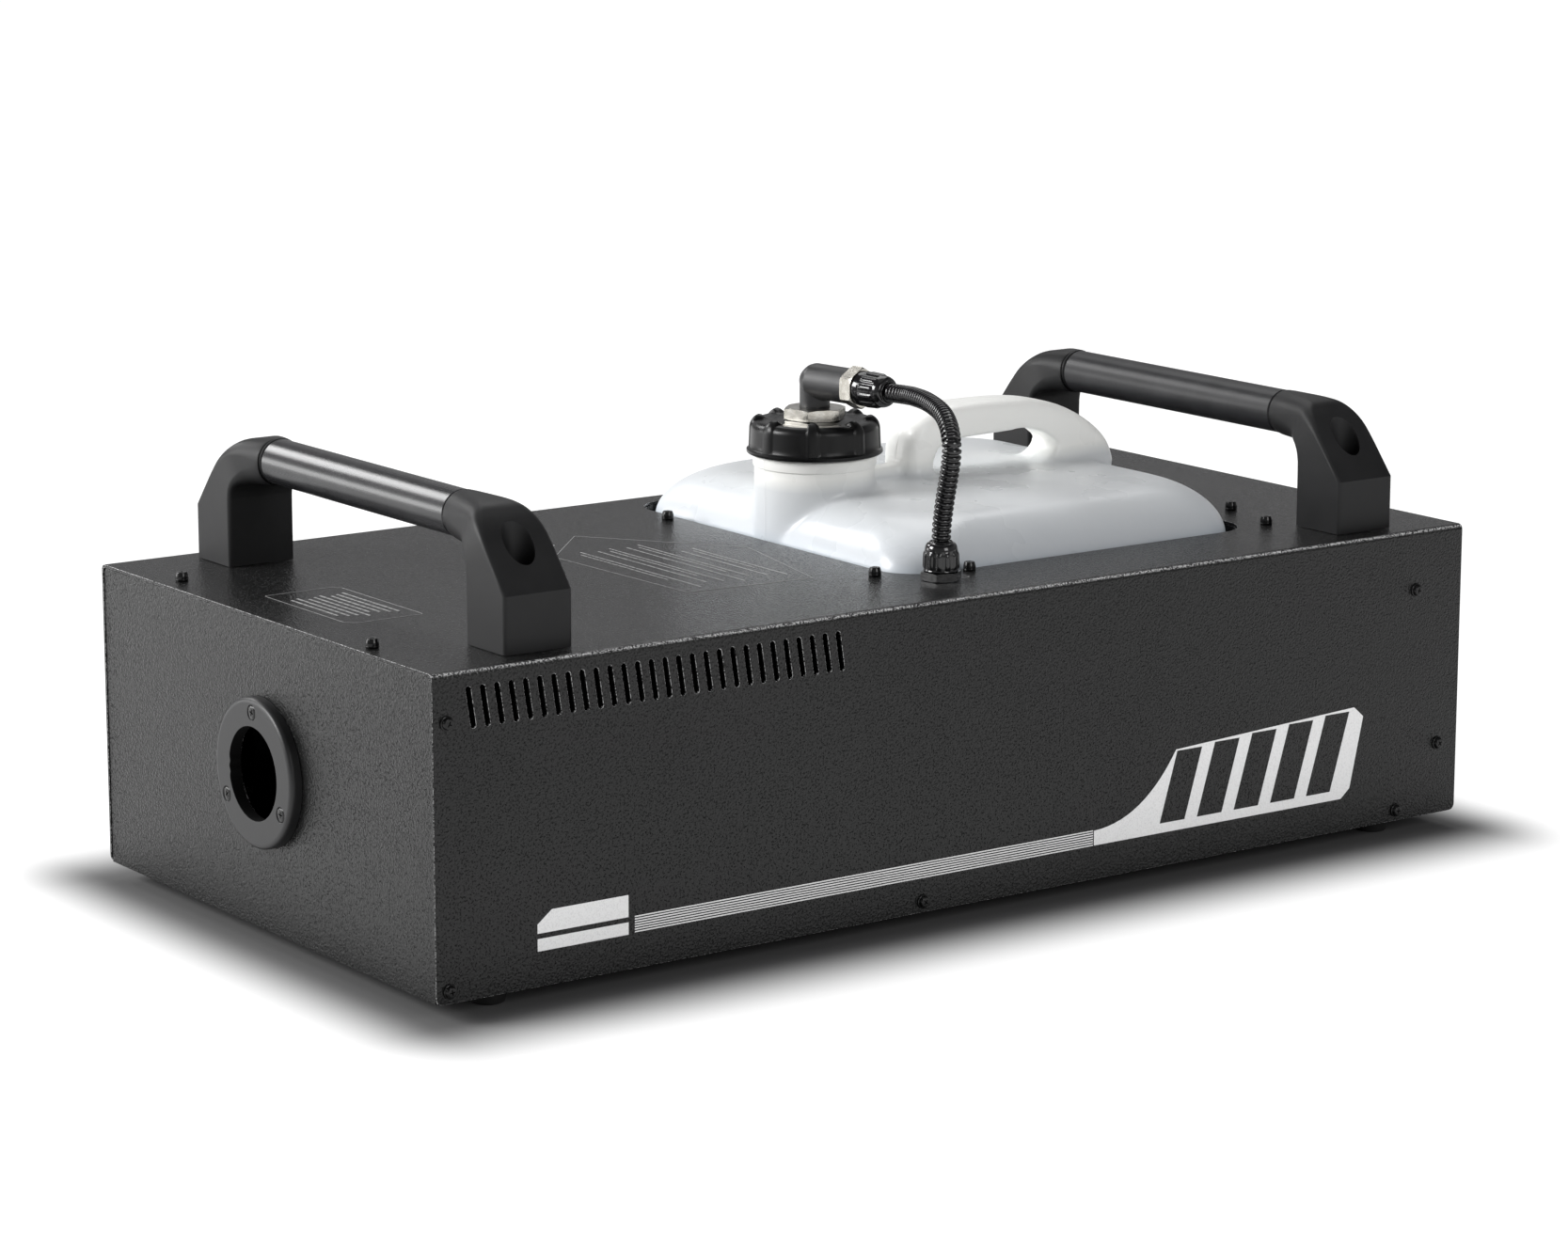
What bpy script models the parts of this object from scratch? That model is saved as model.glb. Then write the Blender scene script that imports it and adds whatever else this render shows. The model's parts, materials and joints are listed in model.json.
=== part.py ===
"""Fog machine with a lift-out fluid tank: a parametric assembly in metres, +Z up.

The frame: origin under the middle of the case at floor level, Y along the case
(fog leaves towards -Y), X across it, feet on z = 0.
"""
import math

import bmesh
import bpy
from mathutils import Matrix, Vector

# ---- case -------------------------------------------------------------------
CASE_W = 0.318            # across, X
CASE_L = 0.635            # along, Y
CASE_H = 0.155            # sheet-metal box without its feet
FOOT_H = 0.009            # rubber feet under the base
SHEET = 0.0015            # cover and panel steel
BEND_R = 0.0030           # outer radius of the cover's two long bends
FOOT_X, FOOT_Y = 0.138, 0.277   # centres of the feet, off the middle
GAP = 0.0003              # clearance between neighbouring pieces
Z0 = FOOT_H               # underside of the case
DECK = FOOT_H + CASE_H    # top of the deck

# ---- side vents -------------------------------------------------------------
SLOT_COUNT = 28
SLOT_PITCH = 0.00768
SLOT_FIRST_Y = -0.2969    # centre of the first slot
SLOT_Z = Z0 + 0.1374
SLOT_LEN = 0.0200
SLOT_W = 0.0028
SLOT_LEAN = math.radians(8.7)

# ---- screws that hold the cover, as (y, z) on each side ----------------------
SIDE_SCREWS = ((-0.3100, Z0 + 0.1317), (0.3033, Z0 + 0.0385))

# ---- tank bay and tank ------------------------------------------------------
BAY_X, BAY_Y = -0.020, 0.106      # centre of the deck opening
BAY_W, BAY_L = 0.247, 0.230       # opening across and along
BAY_R = 0.022
BAY_FLOOR = 0.044
BAY_SHEET = 0.0012
BAY_LIP_X, BAY_LIP_Y = 0.008, 0.016   # hanging flange under the deck
BAY_LIP_R = 0.014
TANK_W, TANK_L = 0.2400, 0.2230
TANK_R = 0.024
TANK_WALL = 0.0022
TANK_BOTTOM = BAY_FLOOR + BAY_SHEET + 0.0006
TANK_TOP = DECK + 0.0230          # crown of the tank
SHOULDER = 0.030                  # rounding of the crown's edge
TANK_TRAVEL = 0.130               # lift that clears the deck

# ---- neck, cap and pick-up --------------------------------------------------
NECK_X, NECK_Y = -0.0197, 0.025
NECK_R = 0.0315
NECK_TOP = Z0 + 0.2122
CAP_BOTTOM = Z0 + 0.1978
CAP_TOP = Z0 + 0.2150
CAP_R = 0.0338
CAP_LIP_R = 0.0355
CAP_RIBS = 8
NUT_AF = 0.0290                   # nickel nut on the cap, across flats
NUT_H = 0.0060
ELBOW_Z = Z0 + 0.2350             # axis of the elbow's outlet
ELBOW_YAW = math.radians(8.0)     # outlet direction from +X
STUB_R = 0.0079
BARREL_R = 0.0092
BORE_R = 0.0036

# ---- deck gland and hose ----------------------------------------------------
GLAND_X, GLAND_Y = 0.1185, 0.0020
GLAND_AF = 0.0184
HOSE_R = 0.0049

# ---- handles ----------------------------------------------------------------
FRONT_HANDLE_Y = -0.2515
REAR_HANDLE_Y = 0.2600
SHANK_X = 0.1288                  # centre of a shank's foot
SHANK_D = 0.0372                  # depth of a foot, along Y
TUBE_Z = DECK + 0.0550
TUBE_R = 0.0115
TUBE_HALF = 0.086                 # half the visible tube
TUBE_SHIFT = -0.0050              # its middle, off the middle of the case

# ---- fog outlet -------------------------------------------------------------
OUT_X, OUT_Z = 0.0025, Z0 + 0.0790
RING_R, RING_HOLE_R, RING_T = 0.0370, 0.0230, 0.0060
RING_SCREW_PCD = 0.0300           # radius of the screw circle

# ---- heater block and pump --------------------------------------------------
HEATER_Y0, HEATER_Y1 = -0.285, -0.055
HEATER_HALF = 0.045               # half its width, along X
HEATER_Z0, HEATER_Z1 = 0.060, 0.116
PUMP_X, PUMP_Z = 0.131, 0.070     # the pump's axis
PUMP_Y0, PUMP_Y1 = 0.045, 0.105

# ---- rear connections -------------------------------------------------------
REAR_Z = Z0 + 0.0600
REAR_OUT = 0.0058                 # how far rear fittings stand out
INLET_X, SWITCH_X, FUSE_X, SOCKET_X = -0.110, -0.060, -0.022, 0.030


# ---- finishes: colour, roughness and metallic share -------------------------
FINISHES = {
    "case_black": ((0.013, 0.013, 0.013), 0.32, 0.0),       # textured powder coat
    "steel_bare": ((0.550, 0.550, 0.570), 0.38, 1.0),       # zinc-plated steel
    "nylon_black": ((0.016, 0.016, 0.017), 0.48, 0.0),      # moulded nylon
    "tube_black": ((0.015, 0.015, 0.016), 0.20, 0.0),       # anodised aluminium
    "screw_black": ((0.012, 0.012, 0.012), 0.28, 0.0),      # black oxide
    "rubber_black": ((0.010, 0.010, 0.010), 0.70, 0.0),
    "can_natural": ((0.720, 0.750, 0.760), 0.30, 0.0),      # natural polyethylene
    "cap_black": ((0.004, 0.004, 0.004), 0.26, 0.0),
    "nickel": ((0.720, 0.680, 0.580), 0.30, 1.0),           # nickel-plated brass
    "conduit_black": ((0.006, 0.006, 0.007), 0.15, 0.0),    # glossy nylon
    "heater_alloy": ((0.350, 0.340, 0.330), 0.50, 1.0),
    "brass": ((0.500, 0.360, 0.150), 0.32, 1.0),
    "line_natural": ((0.700, 0.700, 0.680), 0.35, 0.0),     # clear-white fluid line
    "board_green": ((0.030, 0.180, 0.070), 0.38, 0.0),      # solder mask
    "fitting_black": ((0.010, 0.010, 0.010), 0.38, 0.0),    # moulded electrical parts
}
SHARP_ANGLE = math.radians(35)    # edges sharper than this stay crisp


# ============================== shape helpers ================================
def coat(name):
    """The named finish as a material, made once."""
    if name in bpy.data.materials:
        return bpy.data.materials[name]
    colour, roughness, metallic = FINISHES[name]
    material = bpy.data.materials.new(name)
    material.use_nodes = True
    shader = material.node_tree.nodes["Principled BSDF"]
    shader.inputs["Base Color"].default_value = (*colour, 1.0)
    shader.inputs["Roughness"].default_value = roughness
    shader.inputs["Metallic"].default_value = metallic
    return material


def finish(bm, name, material=None):
    """Turn a bmesh into a named object with outward faces."""
    bmesh.ops.remove_doubles(bm, verts=bm.verts, dist=1e-6)
    bmesh.ops.recalc_face_normals(bm, faces=bm.faces)
    mesh = bpy.data.meshes.new(name)
    bm.to_mesh(mesh)
    bm.free()
    obj = bpy.data.objects.new(name, mesh)
    bpy.context.scene.collection.objects.link(obj)
    if material is not None:
        mesh.materials.append(coat(material))
    return obj


def set_origin(obj, point):
    """Move an object's origin without moving its shape."""
    obj.data.transform(Matrix.Translation(-Vector(point)))
    obj.location = point
    return obj


def loft(bm, loops, closed=False):
    """Skin a list of equal-length point loops; closed joins last to first."""
    rings = [[bm.verts.new(point) for point in loop] for loop in loops]
    count = len(rings[0])
    pairs = list(zip(rings, rings[1:]))
    if closed:
        pairs.append((rings[-1], rings[0]))
    for lower, upper in pairs:
        for i in range(count):
            j = (i + 1) % count
            bm.faces.new((lower[i], lower[j], upper[j], upper[i]))
    if not closed:
        bm.faces.new(list(reversed(rings[0])))
        bm.faces.new(rings[-1])


def box(bm, x0, x1, y0, y1, z0, z1):
    """Axis-aligned block."""
    bottom = [(x0, y0, z0), (x1, y0, z0), (x1, y1, z0), (x0, y1, z0)]
    top = [(x0, y0, z1), (x1, y0, z1), (x1, y1, z1), (x0, y1, z1)]
    loft(bm, [bottom, top])


def rounded_rect(cx, cy, width, length, radius, z, steps=5):
    """Loop of a rounded rectangle in a horizontal plane."""
    points = []
    hx, hy = width / 2 - radius, length / 2 - radius
    corners = ((hx, hy, 0), (-hx, hy, 1), (-hx, -hy, 2), (hx, -hy, 3))
    for px, py, quarter in corners:
        for i in range(steps + 1):
            angle = math.pi / 2 * (quarter + i / steps)
            points.append((cx + px + radius * math.cos(angle),
                           cy + py + radius * math.sin(angle), z))
    return points


def frame_of(direction):
    """Two unit vectors square to a direction."""
    along = Vector(direction).normalized()
    helper = Vector((0, 0, 1)) if abs(along.z) < 0.9 else Vector((1, 0, 0))
    side = along.cross(helper).normalized()
    return side, side.cross(along).normalized()


def circle(centre, direction, radius, segments, turn=0.0, shape=None):
    """Loop round an axis; shape(angle) may scale the radius."""
    side, up = frame_of(direction)
    centre = Vector(centre)
    loop = []
    for i in range(segments):
        angle = 2 * math.pi * i / segments + turn
        reach = radius * (shape(angle) if shape else 1.0)
        loop.append(centre + reach * (math.cos(angle) * side + math.sin(angle) * up))
    return loop


def turned(bm, origin, direction, profile, segments=32, closed=False, shape=None, turn=0.0):
    """Solid of revolution from (distance along the axis, radius) pairs."""
    axis = Vector(direction).normalized()
    loops = [circle(Vector(origin) + axis * along, axis, radius, segments, turn, shape)
             for along, radius in profile]
    loft(bm, loops, closed)


def rod(bm, start, end, radius, segments=24, turn=0.0):
    """Plain cylinder between two points."""
    start, end = Vector(start), Vector(end)
    turned(bm, start, end - start, [(0, radius), ((end - start).length, radius)],
           segments, turn=turn)


def hexagon(bm, start, end, across_flats, turn=0.0):
    """Hexagonal bar between two points."""
    rod(bm, start, end, across_flats / math.sqrt(3), 6, turn)


def smooth_path(points, per_span=6):
    """Catmull-Rom curve through the given points."""
    pts = [Vector(p) for p in points]
    pts = [2 * pts[0] - pts[1]] + pts + [2 * pts[-1] - pts[-2]]
    path = []
    for a, b, c, d in zip(pts, pts[1:], pts[2:], pts[3:]):
        for i in range(per_span):
            t = i / per_span
            path.append(0.5 * (2 * b + (c - a) * t + (2 * a - 5 * b + 4 * c - d) * t * t
                               + (3 * b - a - 3 * c + d) * t ** 3))
    path.append(pts[-2])
    return path


def pipe_loops(path, radius, segments):
    """Loops of constant radius carried along a path without twist."""
    loops = []
    side = None
    for i, point in enumerate(path):
        ahead = path[min(i + 1, len(path) - 1)] - path[max(i - 1, 0)]
        along = ahead.normalized()
        if side is None:
            side = frame_of(along)[0]
        side = (side - along * side.dot(along)).normalized()
        up = side.cross(along)
        loops.append([point + radius * (math.cos(2 * math.pi * k / segments) * side
                                        + math.sin(2 * math.pi * k / segments) * up)
                      for k in range(segments)])
    return loops


def pipe(name, points, outer, inner, material, per_span=6, segments=16):
    """Open-ended pipe along a smooth path."""
    path = smooth_path(points, per_span)
    bm = bmesh.new()
    loft(bm, pipe_loops(path, outer, segments)
         + list(reversed(pipe_loops(path, inner, segments))), closed=True)
    return finish(bm, name, material)


def prism_y(bm, outline, y0, y1):
    """Outline of (x, z) pairs extruded along Y."""
    loft(bm, [[(x, y0, z) for x, z in outline], [(x, y1, z) for x, z in outline]])


def combine(target, tool, operation):
    """Boolean the target with another object, then drop that object."""
    modifier = target.modifiers.new("shape", "BOOLEAN")
    modifier.operation = operation
    modifier.solver = "EXACT"
    modifier.object = tool
    bpy.context.view_layer.objects.active = target
    bpy.ops.object.modifier_apply(modifier=modifier.name)
    bpy.data.objects.remove(tool)
    return target


def cut(target, tool_bm):
    """Take a bmesh tool away from the target."""
    return combine(target, finish(tool_bm, "tool"), "DIFFERENCE")


def weld(target, tool_bm):
    """Join a bmesh tool to the target."""
    return combine(target, finish(tool_bm, "tool"), "UNION")


def join(target, other):
    """Join another object to the target."""
    return combine(target, other, "UNION")


def new():
    """Fresh bmesh."""
    return bmesh.new()


# ================================== case =====================================
def arc(cx, cz, radius, start, end, steps):
    """Points of an arc in the XZ plane, angles in degrees."""
    points = []
    for i in range(steps + 1):
        angle = math.radians(start + (end - start) * i / steps)
        points.append((cx + radius * math.cos(angle), cz + radius * math.sin(angle)))
    return points


def make_cover():
    """One sheet bent down both long sides, with vents and the tank opening."""
    half = CASE_W / 2
    inner_r = BEND_R - SHEET
    cz = DECK - BEND_R
    outline = [(half, Z0)] + arc(half - BEND_R, cz, BEND_R, 0, 90, 4)
    outline += arc(-half + BEND_R, cz, BEND_R, 90, 180, 4) + [(-half, Z0), (-half + SHEET, Z0)]
    outline += arc(-half + BEND_R, cz, inner_r, 180, 90, 4)
    outline += arc(half - BEND_R, cz, inner_r, 90, 0, 4) + [(half - SHEET, Z0)]
    bm = new()
    prism_y(bm, outline, -CASE_L / 2, CASE_L / 2)
    cover = finish(bm, "cover", "case_black")
    tool = new()
    loft(tool, [rounded_rect(BAY_X, BAY_Y, BAY_W, BAY_L, BAY_R, DECK - 0.01),
                rounded_rect(BAY_X, BAY_Y, BAY_W, BAY_L, BAY_R, DECK + 0.01)])
    rod(tool, (GLAND_X, GLAND_Y, DECK - 0.01), (GLAND_X, GLAND_Y, DECK + 0.01), 0.0064, 20)
    for handle_y in (FRONT_HANDLE_Y, REAR_HANDLE_Y):
        for side in (-1, 1):
            rod(tool, (side * SHANK_X, handle_y, DECK - 0.01),
                (side * SHANK_X, handle_y, DECK + 0.01), 0.0044, 16)
    for side in (-1, 1):
        add_vent_row(tool, side)
        for screw_y, screw_z in SIDE_SCREWS:
            rod(tool, (side * (half - 0.01), screw_y, screw_z),
                (side * (half + 0.01), screw_y, screw_z), 0.0022, 12)
    return cut(cover, tool)


def add_vent_row(tool, side):
    """Row of leaning round-ended slots through one side."""
    half_line = SLOT_LEN / 2 - SLOT_W / 2
    for index in range(SLOT_COUNT):
        centre_y = SLOT_FIRST_Y + index * SLOT_PITCH
        loops = []
        for x in (side * (CASE_W / 2 - 0.006), side * (CASE_W / 2 + 0.006)):
            loop = []
            for end, start in ((1, 0.0), (-1, math.pi)):
                for step in range(4):
                    angle = start + math.pi * step / 3
                    across = SLOT_W / 2 * math.cos(angle)
                    along = end * half_line + SLOT_W / 2 * math.sin(angle)
                    y = centre_y + across * math.cos(SLOT_LEAN) - along * math.sin(SLOT_LEAN)
                    z = SLOT_Z + along * math.cos(SLOT_LEAN) + across * math.sin(SLOT_LEAN)
                    loop.append((x, y, z))
            loops.append(loop)
        loft(tool, loops)


def make_base():
    """Bottom tray with up-turned long edges."""
    half = CASE_W / 2 - SHEET - GAP
    z0 = Z0 + GAP
    outline = [(-half, z0), (half, z0), (half, z0 + 0.014), (half - SHEET, z0 + 0.014),
               (half - SHEET, z0 + SHEET), (-half + SHEET, z0 + SHEET),
               (-half + SHEET, z0 + 0.014), (-half, z0 + 0.014)]
    bm = new()
    prism_y(bm, outline, -CASE_L / 2 + 0.0023, CASE_L / 2 - 0.0023)
    base = finish(bm, "base_pan", "case_black")
    tool = new()
    for side in (-1, 1):
        for end in (-1, 1):
            rod(tool, (side * FOOT_X, end * FOOT_Y, 0), (side * FOOT_X, end * FOOT_Y, 0.02), 0.0022, 12)
    return cut(base, tool)


def make_end_panel(name, end):
    """Front (-1) or rear (+1) panel with flanges folded inwards."""
    half = CASE_W / 2 - SHEET - GAP
    face = end * (CASE_L / 2 - 0.0005)
    top = DECK - SHEET - GAP
    depth = 0.016
    inner = face - end * SHEET
    back = face - end * depth
    corner = BEND_R - SHEET + GAP
    outline = [(-half, Z0 + GAP), (half, Z0 + GAP), (half, top - corner), (half - corner, top),
               (-half + corner, top), (-half, top - corner)]
    bm = new()
    prism_y(bm, outline, min(face, inner), max(face, inner))
    panel = finish(bm, name, "case_black")
    near = inner + end * 0.0004
    y0, y1 = min(near, back), max(near, back)
    for x0 in (-half, half - SHEET):
        flange = new()
        box(flange, x0, x0 + SHEET, y0, y1, Z0 + 0.0155, top - corner)
        panel = weld(panel, flange)
    flange = new()
    box(flange, -half + corner, half - corner, y0, y1, top - SHEET, top)
    panel = weld(panel, flange)
    flange = new()
    box(flange, -half + 0.004, half - 0.004, y0, y1, Z0 + 0.0022, Z0 + 0.0022 + SHEET)
    return weld(panel, flange)


def make_front_panel():
    """Front panel with the outlet opening and ring screw holes."""
    panel = make_end_panel("front_panel", -1)
    tool = new()
    rod(tool, (OUT_X, -0.33, OUT_Z), (OUT_X, -0.29, OUT_Z), 0.0250, 40)
    for x, z in ring_screw_centres():
        rod(tool, (x, -0.33, z), (x, -0.29, z), 0.0018, 12)
    for side in (-1, 1):
        rod(tool, (side * 0.14, -0.31, Z0 + 0.1317), (side * 0.17, -0.31, Z0 + 0.1317), 0.0022, 12)
    return cut(panel, tool)


def make_rear_panel():
    """Rear panel with cut-outs for inlet, switch, fuse and remote socket."""
    panel = make_end_panel("rear_panel", 1)
    tool = new()
    box(tool, INLET_X - 0.0143, INLET_X + 0.0143, 0.30, 0.33, REAR_Z - 0.0103, REAR_Z + 0.0103)
    box(tool, SWITCH_X - 0.0113, SWITCH_X + 0.0113, 0.30, 0.33, REAR_Z - 0.0148, REAR_Z + 0.0148)
    rod(tool, (FUSE_X, 0.30, REAR_Z), (FUSE_X, 0.33, REAR_Z), 0.0063, 24)
    rod(tool, (SOCKET_X, 0.30, REAR_Z), (SOCKET_X, 0.33, REAR_Z), 0.0120, 32)
    for side in (-1, 1):
        rod(tool, (side * 0.14, 0.3033, Z0 + 0.0385), (side * 0.17, 0.3033, Z0 + 0.0385), 0.0022, 12)
    return cut(panel, tool)


def make_feet():
    """Four round rubber feet."""
    profile = [(0, 0.0078), (0.0006, 0.0084), (FOOT_H - 0.0008, 0.0090), (FOOT_H, 0.0090),
               (FOOT_H, 0.0020), (0.0035, 0.0020), (0.0035, 0.0045), (0, 0.0045)]
    names = (("foot_front_left", -1, -1), ("foot_front_right", 1, -1),
             ("foot_rear_left", -1, 1), ("foot_rear_right", 1, 1))
    for name, side, end in names:
        bm = new()
        turned(bm, (0, 0, 0), (0, 0, 1), profile, 18, closed=True)
        foot = finish(bm, name, "rubber_black")
        foot.location = (side * FOOT_X, end * FOOT_Y, 0)


def pan_screw(name, origin, direction, length=0.009):
    """Pan-head screw with a washer; origin on the sheet's outer face."""
    bm = new()
    profile = [(-length, 0.0011), (-length + 0.0008, 0.0017), (0.0003, 0.0017), (0.0003, 0.0036),
               (0.0010, 0.0036), (0.0010, 0.0030), (0.0022, 0.0029), (0.0027, 0.0024),
               (0.0027, 0.0012), (0.0018, 0.0009)]
    turned(bm, origin, direction, profile, 12)
    return finish(bm, name, "screw_black")


# =============================== tank bay ====================================
def make_bay():
    """Open-topped steel bay hung under the deck by a flange."""
    flange_z = DECK - SHEET - GAP
    wide, long = BAY_W + 2 * BAY_LIP_X, BAY_L + 2 * BAY_LIP_Y
    t = BAY_SHEET
    loops = [
        rounded_rect(BAY_X, BAY_Y, wide, long, BAY_LIP_R, flange_z),
        rounded_rect(BAY_X, BAY_Y, BAY_W, BAY_L, BAY_R, flange_z),
        rounded_rect(BAY_X, BAY_Y, BAY_W, BAY_L, BAY_R, BAY_FLOOR + t),
    ]
    outside = [
        rounded_rect(BAY_X, BAY_Y, wide, long, BAY_LIP_R, flange_z - t),
        rounded_rect(BAY_X, BAY_Y, BAY_W + 2 * t, BAY_L + 2 * t, BAY_R + t, flange_z - t),
        rounded_rect(BAY_X, BAY_Y, BAY_W + 2 * t, BAY_L + 2 * t, BAY_R + t, BAY_FLOOR),
    ]
    bm = new()
    loft(bm, list(reversed(loops)) + outside)
    return finish(bm, "tank_bay", "case_black")


# ================================== tank =====================================
def tank_loops(inset, bottom, top):
    """Loops of the tank body, shrunk by a wall inset."""
    width, length = TANK_W - 2 * inset, TANK_L - 2 * inset
    radius = TANK_R - inset
    bend = 0.010
    loops = []
    for step in range(4):
        angle = math.pi / 2 * step / 3
        shrink = bend * (1 - math.sin(angle))
        loops.append(rounded_rect(BAY_X, BAY_Y, width - 2 * shrink, length - 2 * shrink,
                                  max(radius - shrink * 0.5, 0.006),
                                  bottom + bend * (1 - math.cos(angle))))
    rise = SHOULDER * 0.95
    for step in range(9):
        angle = math.pi / 2 * step / 8
        shrink = SHOULDER * (1 - math.cos(angle))
        lean = 0.15 * shrink
        loops.append(rounded_rect(BAY_X, BAY_Y + lean, width - 2 * shrink, length - 2 * shrink + lean,
                                  radius + shrink * 0.5, top - rise + rise * math.sin(angle)))
    loops.append(rounded_rect(BAY_X, BAY_Y, width - 0.120, length - 0.120, 0.040, top + 0.0015))
    return loops


# Side outline of the tank's handle: (y from the front of the post, z above the crown).
GRIP_OUTLINE = (
    (0.000, -0.012), (0.000, 0.016), (0.003, 0.026), (0.010, 0.033), (0.022, 0.0368),
    (0.040, 0.0378), (0.075, 0.0370), (0.101, 0.0318), (0.121, 0.0222), (0.135, 0.0102),
    (0.1405, -0.002), (0.137, -0.014),
)
GRIP_Y = 0.078                    # front of the handle's post
GRIP_HALF = 0.0140                # half its width
GRIP_HOLE = (0.013, 0.092, 0.0185)   # start, end and height of the hand hole


def make_grip():
    """Arched handle moulded with the can, with its hand hole."""
    bm = new()
    layers = ((-1.0, 0.0055), (-0.78, 0.0016), (-0.5, 0.0), (0.5, 0.0), (0.78, 0.0016), (1.0, 0.0055))
    loops = []
    for across, inset in layers:
        loop = []
        for y, z in GRIP_OUTLINE:
            toward = Vector((0, 0.068 - y, 0.004 - z)).normalized() * inset
            loop.append((BAY_X + across * GRIP_HALF, GRIP_Y + y + toward.y, TANK_TOP + z + toward.z))
        loops.append(loop)
    loft(bm, loops)
    grip = finish(bm, "grip", "can_natural")
    start, end, height = GRIP_HOLE
    hole = new()
    outline = [(start, -0.02), (start, height - 0.009), (start + 0.003, height - 0.003),
               (start + 0.010, height), (end - 0.022, height), (end - 0.008, height - 0.004),
               (end, height - 0.010), (end - 0.002, height - 0.014), (end - 0.010, 0.001),
               (end - 0.026, -0.003), (end - 0.032, -0.020)]
    loft(hole, [[(BAY_X + x, GRIP_Y + y, TANK_TOP + z) for y, z in outline] for x in (-0.03, 0.03)])
    return cut(grip, hole)


def make_tank():
    """Hollow blow-moulded can with a neck at the front and an arched handle."""
    bm = new()
    loft(bm, tank_loops(0, TANK_BOTTOM, TANK_TOP))
    tank = finish(bm, "tank", "can_natural")
    neck = new()
    rod(neck, (NECK_X, NECK_Y, DECK - 0.012), (NECK_X, NECK_Y, CAP_BOTTOM - 0.0008), NECK_R, 36)
    tank = weld(tank, neck)
    neck = new()
    turned(neck, (NECK_X, NECK_Y, CAP_BOTTOM - 0.004), (0, 0, 1),
           [(0, 0.0285), (NECK_TOP - CAP_BOTTOM + 0.003, 0.0285),
            (NECK_TOP - CAP_BOTTOM + 0.004, 0.0275)], 36)
    tank = weld(tank, neck)
    grip = make_grip()
    join(tank, grip)
    lug = new()
    box(lug, BAY_X - 0.005, BAY_X + 0.005, NECK_Y + 0.028, GRIP_Y + 0.001,
        DECK + 0.018, DECK + 0.0305)
    tank = weld(tank, lug)
    cavity = new()
    loft(cavity, tank_loops(TANK_WALL, TANK_BOTTOM + TANK_WALL, TANK_TOP - TANK_WALL))
    tank = cut(tank, cavity)
    bore = new()
    rod(bore, (NECK_X, NECK_Y, DECK - 0.020), (NECK_X, NECK_Y, NECK_TOP + 0.01), 0.0255, 36)
    return cut(tank, bore)


def rib_shape(angle):
    """Radius factor that raises the cap's grip ribs."""
    phase = (angle * CAP_RIBS / (2 * math.pi)) % 1.0
    return 1.032 if abs(phase - 0.5) < 0.13 else 1.0


def make_cap():
    """Screw cap with grip ribs, a lower lip and a hole for the fitting."""
    axis = (0, 0, 1)
    height = CAP_TOP - CAP_BOTTOM
    segments = 48
    outer = [(0.0, CAP_LIP_R), (0.0022, CAP_LIP_R), (0.0026, CAP_R), (height - 0.0040, CAP_R),
             (height - 0.0012, CAP_R - 0.0014), (height, CAP_R - 0.0042)]
    inner = [(height, 0.0160), (height, STUB_R + GAP), (height - 0.0022, STUB_R + GAP),
             (height - 0.0022, 0.0292), (0.0, 0.0292)]
    origin = Vector((NECK_X, NECK_Y, CAP_BOTTOM))
    loops = []
    for along, radius in outer:
        ribbed = rib_shape if radius < CAP_LIP_R and along < height else None
        loops.append(circle(origin + Vector((0, 0, along)), axis, radius, segments, 0, ribbed))
    for along, radius in inner:
        loops.append(circle(origin + Vector((0, 0, along)), axis, radius, segments))
    bm = new()
    loft(bm, loops, closed=True)
    return finish(bm, "tank_cap", "cap_black")


def elbow_point(along):
    """Point on the elbow's outlet axis."""
    return Vector((NECK_X + along * math.cos(ELBOW_YAW), NECK_Y + along * math.sin(ELBOW_YAW),
                   ELBOW_Z))


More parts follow.
